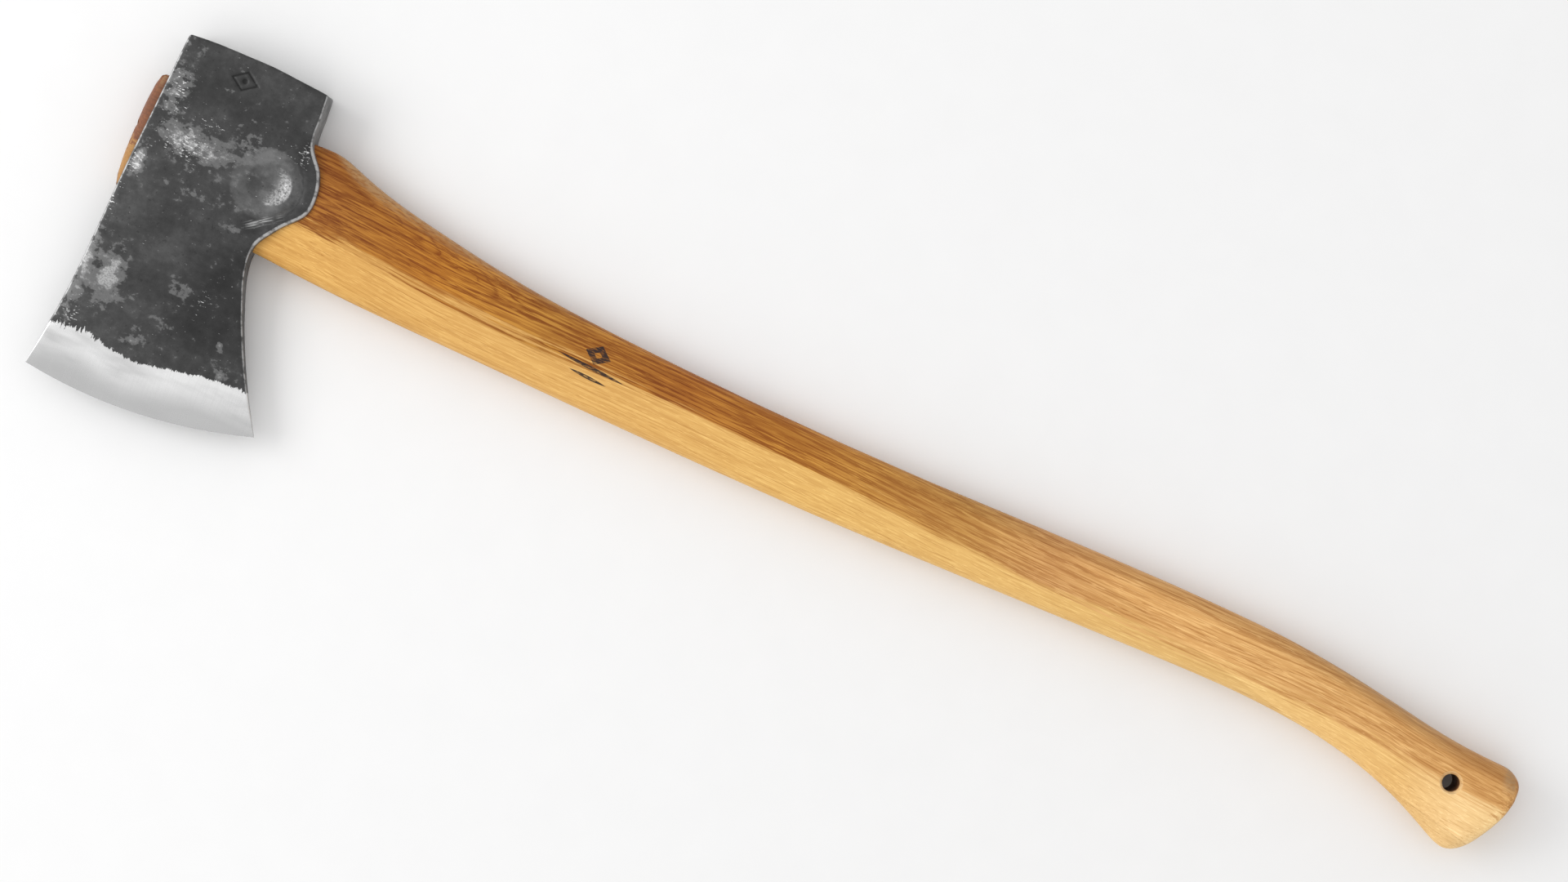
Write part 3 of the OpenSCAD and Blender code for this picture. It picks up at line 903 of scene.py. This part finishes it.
def along_and_across(g, dx, dy, turn):
    """(dx, dy) measured along a direction at this turn, and across it."""
    c, s = math.cos(turn), math.sin(turn)
    return (g.add(g.mul(dx, c), g.mul(dy, s)),
            g.sub(g.mul(dy, c), g.mul(dx, s)))


# Height of the boundary between heartwood and sapwood, as (share of the handle's length, height).
HEART_LINE = [(0, 0.034), (0.16, 0.0265), (0.24, 0.0205), (0.40, 0.0165), (0.52, 0.0115),
              (0.66, 0.0045), (0.77, 0.0022), (0.87, 0.0005), (0.94, -0.0072), (1, -0.0125)]
HEART_RANGE = (-0.05, 0.05)
RING_GAP = 2.3 * MM
PITH_AWAY = 0.10
# Colours along the handle, as (share of its length, colour).
HEART = [(0, "84421b"), (0.15, "a56826"), (0.22, "b87526"), (0.3, "b67b30"), (0.4, "ab6824"),
         (0.47, "c28232"), (0.53, "c4893d"), (0.6, "cf9951"), (0.66, "d8a062"), (0.72, "e1aa67"),
         (0.85, "dea967"), (1, "daa361")]
SAP = [(0.0, "d29d4f"), (0.13, "e7b364"), (0.25, "eab76a"), (0.4, "efbd6f"), (0.5, "f2c272"),
       (0.8, "f2c67e"), (0.92, "ecbc74"), (0.965, "fbd293"), (1, "fed898")]
# Tints of the wood: its dark and light fibres, painted shade on its back and on the low facet, the facet's
# ridge, and end grain.
DARK_FIBRE = (0.55, 0.38, 0.22)
LIGHT_FIBRE = (1.35, 1.55, 1.85)
BACK_SHADE_TINT = (0.70, 0.66, 0.62)
# Painted shade on the low facet.
FACET_SHADE_TINT = (0.88, 0.85, 0.80)
RIDGE_TINT = (0.60, 0.50, 0.40)
END_TINT = (0.60, 0.52, 0.48)
# How dark a growth line is through one layer.
LAYER = [(0, 1), (0.1, 0.8), (0.34, 0.12), (0.8, 0), (0.97, 0.5)]
# How far the layers wander, and how far fibres blur and soften the heartwood's boundary.
LAYER_WANDER = (9 * MM, 3.5 * MM)
HEART_BLUR = (22 * MM, 14 * MM)
HEART_SOFT = (-2.8 * MM, 3.2 * MM)


def heart_height(g, x):
    """Share of the handle's length at x, and the height of the heartwood's boundary there."""
    low, high = HEART_RANGE
    along = g.node("ShaderNodeMapRange", {"Value": x, "From Min": HANDLE_LOW.x, "From Max": HANDLE_HIGH.x})
    curve = g.tree.nodes.new("ShaderNodeFloatCurve")
    g.put(curve.inputs["Value"], along)
    points = curve.mapping.curves[0].points
    while len(points) < len(HEART_LINE):
        points.new(0.5, 0.5)
    for point, (at, height) in zip(points, HEART_LINE):
        point.location = (at, (height - low) / (high - low))
    curve.mapping.update()
    return along, g.add(g.mul(curve.outputs[0], high - low), low)


# The growth layers fold over in the heartwood at the shoulder: how high above the boundary, and where.
FOLD_HEIGHTS = (28 * MM, 11 * MM)
FOLD_PLACES = (HANDLE_LOW.x + 0.100, HANDLE_LOW.x + 0.250)
FOLD_ROUND = 5 * MM
# The folded lines show most this near the fold.
FOLD_NEAR = (18 * MM, 4 * MM)


def shifted(g, value, amount):
    """A noise as an amount either side of zero."""
    return g.mul(g.sub(value, 0.5), amount)


def growth_layers(g, place, boundary):
    """How far from the fold a place is, how far its layer wandered, and the darkness of its line."""
    x, y, z = g.split(place)
    depth = g.sub(y, boundary)
    fold = g.between(x, *FOLD_PLACES, *FOLD_HEIGHTS)
    past = g.sub(depth, fold)
    round_past = g.math("SQRT", g.add(g.mul(past, past), FOLD_ROUND ** 2))
    folded = g.sub(fold, round_past)
    off = g.sub(z, MIDDLE)
    curve = g.mul(off, off, 1 / (2 * PITH_AWAY))
    slow = shifted(g, g.noise(place, "slow"), LAYER_WANDER[0])
    quick = shifted(g, g.noise(place, "quick"), LAYER_WANDER[1])
    wander = g.sub(g.add(slow, quick), curve)
    phase = g.math("DIVIDE", g.add(folded, wander), RING_GAP)
    line = g.ramp(g.math("FRACT", phase), LAYER)
    each = g.node("ShaderNodeTexWhiteNoise", {"W": g.math("FLOOR", phase)}, "Value", noise_dimensions="1D")
    return past, wander, g.mul(line, g.between(each, 0.0, 1.0, 0.10, 1.0))


def wood_colour(g, place):
    """Colour and relief of the handle's wood, cut from one solid block of growth rings."""
    x, y, z = g.split(place)
    along, boundary = heart_height(g, x)
    depth = g.sub(y, boundary)
    past, wander, line = growth_layers(g, place, boundary)
    flow = g.join(x, depth, z)
    fibre, streak, fine, pores, threads, dashes = (
        g.noise(flow, kind) for kind in ("fibre", "streak", "fine", "pores", "threads", "dashes"))

    blur = g.add(shifted(g, fibre, HEART_BLUR[0]), shifted(g, streak, HEART_BLUR[1]))
    heart = g.between(g.add(g.add(depth, wander), blur), *HEART_SOFT)
    colour = g.mix(heart, g.ramp(along, SAP), g.ramp(along, HEART))
    dark, light = g.tinted(colour, DARK_FIBRE), g.tinted(colour, LIGHT_FIBRE)

    # The heartwood is livelier than the sapwood, and more so near the head.
    lively = g.mul(g.between(heart, 0, 1, 0.28, 1.0), g.between(along, 0.42, 0.62, 1.0, 0.55))
    near_fold = g.between(g.math("ABSOLUTE", past), *FOLD_NEAR)
    bent = g.mul(near_fold, g.between(along, 0.33, 0.26, 0, 0.7))
    darker = g.mul(line, g.add(g.mul(lively, 0.75), bent))
    darker = g.math("MAXIMUM", darker, g.mul(g.between(fibre, 0.50, 0.64, 0, 0.9), lively))
    darker = g.math("MAXIMUM", darker, g.mul(g.between(streak, 0.48, 0.36, 0, 1.0), lively))
    colour = g.mix(darker, colour, dark)
    colour = g.lay(colour, light, g.between(streak, 0.53, 0.63, 0, 0.85), lively)
    shine = g.mul(g.between(fine, 0.56, 0.68, 0, 0.9), g.between(lively, 0.25, 0.8, 0.45, 1))
    colour = g.mix(shine, colour, light)

    # Thin dark threads, short light dashes, open pores, and slow darker clouds.
    colour = g.mix(g.between(threads, 0.38, 0.30, 0, 0.42), colour, dark)
    colour = g.mix(g.between(dashes, 0.62, 0.70, 0, 0.5), colour, light)
    pore = g.mul(g.between(pores, 0.60, 0.70), g.between(line, 0.2, 0.7))
    colour = g.lay(colour, dark, pore, 0.5)
    cloudy = g.between(g.noise(place, "cloudy"), 0.44, 0.68, 0, 0.5)
    colour = g.lay(colour, dark, cloudy, lively)
    height = g.sub(g.mul(fine, 0.6), g.add(g.mul(line, 0.5), pore))
    return colour, height, fibre


# A printed ornament on the handle: its origin from the handle's box, and its turn. Above the origin
# there is a rhombus with a light dot, and below it two rules that taper off.
PRINT_AT = (HANDLE_LOW.x + 0.2711, HANDLE_LOW.y + 0.0612)
PRINT_TURN = math.radians(-4.5)
RHOMB_UP = 4.4 * MM
RHOMB_HALF = (7.6 * MM, 5.6 * MM)
# Share of the rhombus that its dot takes, with its soft edge.
RHOMB_DOT = (0.28, 0.36)
# Height, half length and half width of each rule.
RULES = [(-3.2 * MM, 20 * MM, 1.0 * MM), (-8.4 * MM, 11 * MM, 0.9 * MM)]
INK = "2a2022"


def print_mask(g, place):
    """1 on the ink of the ornament."""
    x, y, z = g.split(place)
    dx, dy = g.sub(x, PRINT_AT[0]), g.sub(y, PRINT_AT[1])
    run, up = along_and_across(g, dx, dy, PRINT_TURN)
    run = g.math("ABSOLUTE", run)
    high = g.math("ABSOLUTE", g.sub(up, RHOMB_UP))
    rhomb = g.add(g.math("DIVIDE", run, RHOMB_HALF[0]), g.math("DIVIDE", high, RHOMB_HALF[1]))
    ink = g.mul(g.between(rhomb, 1.0, 0.94), g.between(rhomb, *RHOMB_DOT))
    for level, long, half in RULES:
        share = g.math("DIVIDE", run, long)
        width = g.sub(half, g.mul(share, share, half))
        away = g.math("ABSOLUTE", g.sub(up, level))
        ink = g.math("MAXIMUM", ink, g.between(g.sub(away, width), 0.1 * MM, -0.1 * MM))
    top = g.between(z, MIDDLE, MIDDLE + MM)
    patchy = g.between(g.noise(place, "ink"), 0.30, 0.52, 0.35, 1)
    return g.mul(ink, top, patchy)


# The ridge of the low facet on the knob's belly runs on a line through these two points.
LOW_RIDGE = ((HANDLE_HIGH.x - 0.0854, HANDLE_LOW.y + 0.0234),
             (HANDLE_HIGH.x - 0.0169, HANDLE_LOW.y + 0.0077))
# It fades in between these distances past the first of them.
RIDGE_FADE = (0.01, 0.05)
# The crown is darker down to about this far from its top.
CROWN_FADE = (8.5 * MM, 6.5 * MM)
CROWN_TONE = "8a6a56"
# Pale grey of the painted sheen on the slanting back.
BACK_SHEEN_TONE = "bf9a6e"
HOLE_RIM_TONE = "f3cf98"
# Painted shade inside the deep, narrow hanging hole.
HOLE_WALL_SHADE = "5a2c16"


def handle_material():
    g = Graph("oiled_hickory")
    place = g.place()
    colour, height, fibre = wood_colour(g, place)
    x, y, _ = g.split(place)
    facing = g.split(g.place("Normal"))
    slant = g.math("ABSOLUTE", facing[0])
    flecks = g.noise(place, "flecks")

    # Painted sheen, pale and grey, where the back slants, and painted shade on the back towards the knob.
    slanted = g.mul(g.between(slant, 0.05, 0.20), g.between(slant, 0.6, 0.4))
    back_sheen = g.mul(slanted, g.between(facing[1], 0.1, 0.5), g.between(flecks, 0.35, 0.6, 0.45, 1))
    colour = g.lay(colour, BACK_SHEEN_TONE, back_sheen, 0.8)
    back = g.mul(g.between(facing[1], 0.25, 0.6), g.between(x, 0.0, 0.10))
    colour = g.lay(colour, g.tinted(colour, BACK_SHADE_TINT), back, 0.8)

    # The low facet of the knob, darkened as painted shade, and its ridge.
    (x1, y1), (x2, y2) = LOW_RIDGE
    ridge = g.add(g.mul(g.sub(x, x1), (y2 - y1) / (x2 - x1)), y1)
    below = g.sub(ridge, y)
    low_facet_shade = g.between(below, -0.3 * MM, 0.6 * MM)
    colour = g.lay(colour, g.tinted(colour, FACET_SHADE_TINT), low_facet_shade, 0.85)
    along_ridge = g.between(x, x1 + RIDGE_FADE[0], x1 + RIDGE_FADE[1])
    on_ridge = g.mul(g.between(g.math("ABSOLUTE", below), 0.5 * MM, 0.1 * MM), along_ridge,
                     g.between(fibre, 0.35, 0.6, 0.3, 0.8))
    colour = g.mix(on_ridge, colour, g.tinted(colour, RIDGE_TINT))

    # End grain, and the crown.
    end = g.between(slant, 0.55, 0.9)
    crown = g.between(x, HANDLE_LOW.x + CROWN_FADE[0], HANDLE_LOW.x + CROWN_FADE[1])
    at_end = g.mul(end, 0.55, g.sub(1.0, crown))
    colour = g.mix(at_end, colour, g.tinted(colour, END_TINT))
    colour = g.lay(colour, CROWN_TONE, crown, 0.45)

    # The hanging hole's pale rim, its wall darkened as painted shade, and the print.
    past_wall = g.sub(g.length(g.sub(x, HOLE_X), g.sub(y, HOLE_Y)), HOLE_RADIUS)
    rim = g.mul(g.between(past_wall, 1.9 * MM, 1.5 * MM), g.between(flecks, 0.3, 0.6, 0.3, 0.6))
    colour = g.mix(rim, colour, HOLE_RIM_TONE)
    # Painted shade: the wall of the deep hole is made dark.
    colour = g.mix(g.between(past_wall, 0.35 * MM, 0.05 * MM, 0, 0.85), colour, HOLE_WALL_SHADE)
    colour = g.lay(colour, INK, print_mask(g, place), 0.95)
    g.bump(height, 0.35, 0.12 * MM)
    g.shader.inputs["Specular IOR Level"].default_value = 0.2
    return g.finish(colour, g.between(fibre, 0.3, 0.7, 0.42, 0.58))


def wedge_wood_material():
    g = Graph("wedge_end_grain")
    place = g.place()
    rings, specks = g.noise(place, "wedge_rings"), g.noise(place, "wedge_specks")
    colour = g.ramp(rings, [(0.3, "5d3218"), (0.55, "8a5227"), (0.75, "a9713c")])
    colour = g.mix(g.between(specks, 0.55, 0.75, 0, 0.5), colour, "3d2010")
    g.bump(g.add(rings, specks), 0.4, 0.15 * MM)
    return g.finish(colour, g.between(specks, 0.3, 0.7, 0.5, 0.7))


# Colours of the steel, by how light its scale or its grain is there.
SCALE_TONES = [(0.36, "3f3f3f"), (0.5, "494949"), (0.64, "585858")]
# Painted highlight: the swell of the eye takes these tones, paler than the scale.
SWELL_HIGHLIGHT_TONES = [(0.38, "5a5a5a"), (0.62, "828282")]
# Painted highlight: the side walls take these tones, paler than the scale.
SIDE_HIGHLIGHT_TONES = [(0.38, "6c6c6c"), (0.5, "808080"), (0.62, "a0a0a0")]
BRIGHT_SCALE = [(0.35, "8c8c8c"), (0.65, "b8b8b8")]
# The dent's wall: worn, and brightened as a painted highlight.
DENT_WEAR_AND_HIGHLIGHT_TONES = [(0.35, "666666"), (0.65, "c6c6c6")]
GROUND_TONES = [(0.34, "cccccc"), (0.5, "e2e2e2"), (0.64, "efefef")]
# Dark scale, and painted shade where it is laid over the dent's left wall.
DARK_SCALE_AND_SHADE = "2a2a2a"
PALE_SCALE = "747474"
SPECK_TONE = "e0e0e0"
SCRATCH_TONE = "b4b4b4"
STAMP_TONE = "202020"
# The darker tone that the side walls' painted highlight goes to further down.
LOW_SIDE_TONE = "565656"
RUBBED_TONE = "c6c6c6"
GROUND_SHADE = "bcbcbc"
GROUND_SIDE = "7c7c7c"


def scale_colour(g, dx, dy, tone, mottle, grain):
    """The forge scale: dark, with the swell of the eye painted paler as a painted highlight, and paler
    places of crisp outline.
    """
    colour = g.ramp(tone, SCALE_TONES)
    uneven = shifted(g, mottle, 5 * MM)
    swell = inside_disc(g, g.add(dx, uneven), dy, (SWELL, SWELL_REACH), 0.8 * MM)
    swell = g.mul(swell, g.between(dx, 0.010, 0.030), g.between(dy, -0.078, -0.066, 0.5, 1))
    # Painted highlight: the swell of the eye is laid over in paler tones.
    colour = g.lay(colour, g.ramp(tone, SWELL_HIGHLIGHT_TONES), swell, 0.85)
    # Darker places; the one at the dent's left wall is painted shade.
    colour = g.lay(colour, DARK_SCALE_AND_SHADE, g.attribute("dark"), 0.65)
    # A little of the swell's painted highlight also goes into the pale places.
    pale = g.add(g.attribute("cloud"), g.mul(swell, 0.10))
    pale = g.add(pale, shifted(g, mottle, 2.0))
    colour = g.mix(g.between(pale, 0.26, 0.44, 0, 0.8), colour, PALE_SCALE)
    return g.mix(g.between(pale, 0.56, 0.92, 0, 0.9), colour, g.ramp(grain, BRIGHT_SCALE))


def scuffed_colour(g, place, dx, dy, colour):
    """Bright specks, the scratches below the dent, and the wall of the dent, worn and brightened as a
    painted highlight.
    """
    strokes = g.noise(place, "strokes")
    specks = g.add(strokes, g.mul(g.attribute("scuff"), 0.17))
    colour = g.mix(g.between(specks, 0.69, 0.76, 0, 0.9), colour, SPECK_TONE)
    run, across = along_and_across(g, dx, dy, SCRATCH_TURN)
    lines = g.noise(g.join(run, across, g.split(place)[2]), "scratches")
    (at_x, at_y), (reach_x, reach_y) = SCRATCHES
    mid_run = at_x * math.cos(SCRATCH_TURN) + at_y * math.sin(SCRATCH_TURN)
    mid_across = at_y * math.cos(SCRATCH_TURN) - at_x * math.sin(SCRATCH_TURN)
    off_run = g.math("ABSOLUTE", g.sub(run, mid_run))
    off_across = g.math("ABSOLUTE", g.sub(across, mid_across))
    near = g.mul(g.between(off_run, reach_x, 0.5 * reach_x), g.between(off_across, reach_y, 0))
    colour = g.lay(colour, SCRATCH_TONE, near, g.between(lines, 0.48, 0.62), 0.8)
    # The dent's right wall is made bright: partly wear, partly a painted highlight.
    ragged_floor = g.add(inside_disc(g, dx, dy, DENT_FLOOR, 4.5 * MM), g.mul(g.sub(0.5, strokes), 1.5))
    wall = g.mul(inside_disc(g, dx, dy, DENT_WALL, 0.7 * MM), g.between(ragged_floor, 0.85, 0.15),
                     g.between(dx, 0.0365, 0.0405), g.between(dy, -0.047, -0.056, 0.35, 1))
    return g.mix(g.mul(wall, 0.95), colour, g.ramp(g.noise(place, "worn"), DENT_WEAR_AND_HIGHLIGHT_TONES))


def ground_parts(g, place, dx, mottle):
    """1 on the ground bevel, its colour, and its brushed grain. Its upper limit is ragged."""
    ground = g.attribute("ground")
    nicks = g.noise(place, "nicks")
    ragged = g.add(ground, shifted(g, mottle, 3.0))
    ragged = g.add(ragged, shifted(g, nicks, g.between(dx, -0.005, -0.025, 5.0, 14.0)))
    brushed, smears = g.noise(place, "brushed"), g.noise(place, "smears")
    bright = g.ramp(smears, GROUND_TONES)
    bright = g.mix(g.between(brushed, 0.4, 0.7, 0, 0.12), bright, GROUND_SHADE)
    lower = g.add(ground, shifted(g, smears, 16))
    bright = g.mix(g.between(lower, 8, 22, 0, 0.85), bright, GROUND_SHADE)
    bright = g.mix(g.between(g.attribute("wall"), 0.4, 1.0, 0, 0.8), bright, GROUND_SIDE)
    return g.between(ragged, -0.3, 0.3), bright, brushed


def forged_material():
    g = Graph("forged_steel")
    place = g.place()
    x, y, _ = g.split(place)
    dx, dy = g.sub(x, POLL_X), g.sub(y, POLL_Y)
    clouds, mottle, grain = (g.noise(place, kind) for kind in ("clouds", "mottle", "grain"))
    tone = g.add(g.mul(clouds, 0.6), g.mul(mottle, 0.4))
    colour = scale_colour(g, dx, dy, tone, mottle, grain)
    colour = scuffed_colour(g, place, dx, dy, colour)

    # Stamped mark, pits, side walls painted paler as a painted highlight, and rubbed edges.
    colour = g.mix(g.between(g.attribute("stamped"), 0.35, 0.9, 0, 0.75), colour, STAMP_TONE)
    pits = g.between(g.noise(place, "pits"), 0.34, 0.26)
    colour = g.lay(colour, DARK_SCALE_AND_SHADE, pits, 0.4)
    # Painted highlight on the side walls, going to a darker tone further down towards the edge.
    side_highlight = g.mix(g.between(dy, -0.080, -0.100, 0, 0.75), g.ramp(tone, SIDE_HIGHLIGHT_TONES), LOW_SIDE_TONE)
    colour = g.mix(g.between(g.attribute("wall"), 0.4, 1.0, 0, 0.8), colour, side_highlight)
    rubbed = g.mul(g.attribute("wear"), g.between(mottle, 0.36, 0.58, 0.5, 1))
    colour = g.mix(g.between(rubbed, 0.15, 0.95, 0, 0.9), colour, RUBBED_TONE)
    ground, bright, brushed = ground_parts(g, place, dx, mottle)
    colour = g.mix(ground, colour, bright)

    rough = g.mul(g.between(tone, 0.3, 0.7, 0.58, 0.42), g.sub(1.0, ground))
    rough = g.add(rough, g.mul(g.between(brushed, 0.3, 0.7, 0.21, 0.28), ground))
    height = g.add(g.mul(mottle, 1.6), g.mul(grain, 0.5))
    height = g.mul(height, g.between(ground, 0, 1, 1.0, 0.06))
    g.bump(g.sub(height, g.mul(ground, 0.25)), 0.55, 0.16 * MM)
    return g.finish(colour, rough, g.between(ground, 0, 1, 0.85, 1.0))


def steel_wedge_material():
    g = Graph("mild_steel")
    mottle = g.noise(g.place(), "mild")
    g.bump(mottle, 0.4, 0.08 * MM)
    colour = g.ramp(mottle, [(0.35, "6b6964"), (0.65, "97958f")])
    return g.finish(colour, g.between(mottle, 0.3, 0.7, 0.4, 0.55), 0.9)


def dress(piece, material):
    piece.data.materials.clear()
    piece.data.materials.append(material)
    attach(piece, "root")


# ---- Studio ----

FLOOR_HALF = 8.0
FLOOR_DROP = 0.2 * MM
FLOOR_ROUGHNESS = 0.7


def make_floor():
    corners = [(a * FLOOR_HALF, b * FLOOR_HALF, -FLOOR_DROP) for a, b in SQUARE]
    floor = new_mesh("floor", corners, [(0, 1, 2, 3)])
    g = Graph("floor_paint")
    colour = g.ramp(g.noise(g.place(), "speckle"), [(0, "f2f2f2"), (1, "f5f5f5")])
    floor.data.materials.append(g.finish(colour, FLOOR_ROUGHNESS))


def area_light(name, place, size, radiance):
    data = bpy.data.lights.new(name, "AREA")
    data.shape = "RECTANGLE"
    data.size, data.size_y = size
    data.energy = radiance * math.pi * size[0] * size[1]
    light = new_object(name, data)
    light.location = place
    light.rotation_mode = "QUATERNION"
    light.rotation_quaternion = (-Vector(place)).to_track_quat("-Z", "Y")


# The key light: its place, size and radiance.
KEY_LIGHT = ((-1.85, -0.2, 1.3), (1.5, 1.1), 2.9)
# The soft surroundings are brightest towards this side, and change evenly between these levels.
SKY_TOWARDS = (-0.85, 0.0, 0.35)
SKY_LEVELS = (0.62, 1.04)


def make_studio():
    make_floor()
    area_light("key_light", *KEY_LIGHT)
    world = bpy.data.worlds.new("studio")
    world.use_nodes = True
    tree = world.node_tree
    aim = tree.nodes.new("ShaderNodeTexCoord")
    turn = tree.nodes.new("ShaderNodeVectorMath")
    turn.operation = "DOT_PRODUCT"
    turn.inputs[1].default_value = Vector(SKY_TOWARDS).normalized()
    level = tree.nodes.new("ShaderNodeMapRange")
    level.inputs["From Min"].default_value = -1
    level.inputs["To Min"].default_value, level.inputs["To Max"].default_value = SKY_LEVELS
    tree.links.new(aim.outputs["Generated"], turn.inputs[0])
    tree.links.new(turn.outputs["Value"], level.inputs["Value"])
    tree.links.new(level.outputs[0], tree.nodes["Background"].inputs["Strength"])
    tree.nodes["Background"].inputs["Color"].default_value = (1, 1, 1, 1)
    bpy.context.scene.world = world
    bpy.context.scene.view_settings.view_transform = "Standard"


def make_camera():
    data = bpy.data.cameras.new("camera")
    data.sensor_width = SENSOR
    data.lens = SENSOR * CAMERA_HEIGHT / VIEW_WIDTH
    data.clip_start, data.clip_end = CLIP
    camera = new_object("camera", data)
    camera.location = (*CAMERA_OFF_CENTRE, MIDDLE + CAMERA_HEIGHT)
    camera.rotation_euler = (0, 0, CAMERA_TURN)
    bpy.context.scene.camera = camera


# ---- Scene ----

make_camera()
make_studio()

rings = handle_rings()
handle = make_handle(rings)
dress(handle, handle_material())
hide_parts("handle")

head = make_head(rings)
dress(head, forged_material())
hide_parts("axe_head")

for node, material in (("wooden_wedge", wedge_wood_material()), ("steel_wedge", steel_wedge_material())):
    for place in frame["nodes"][node].material_slots:
        place.material = material
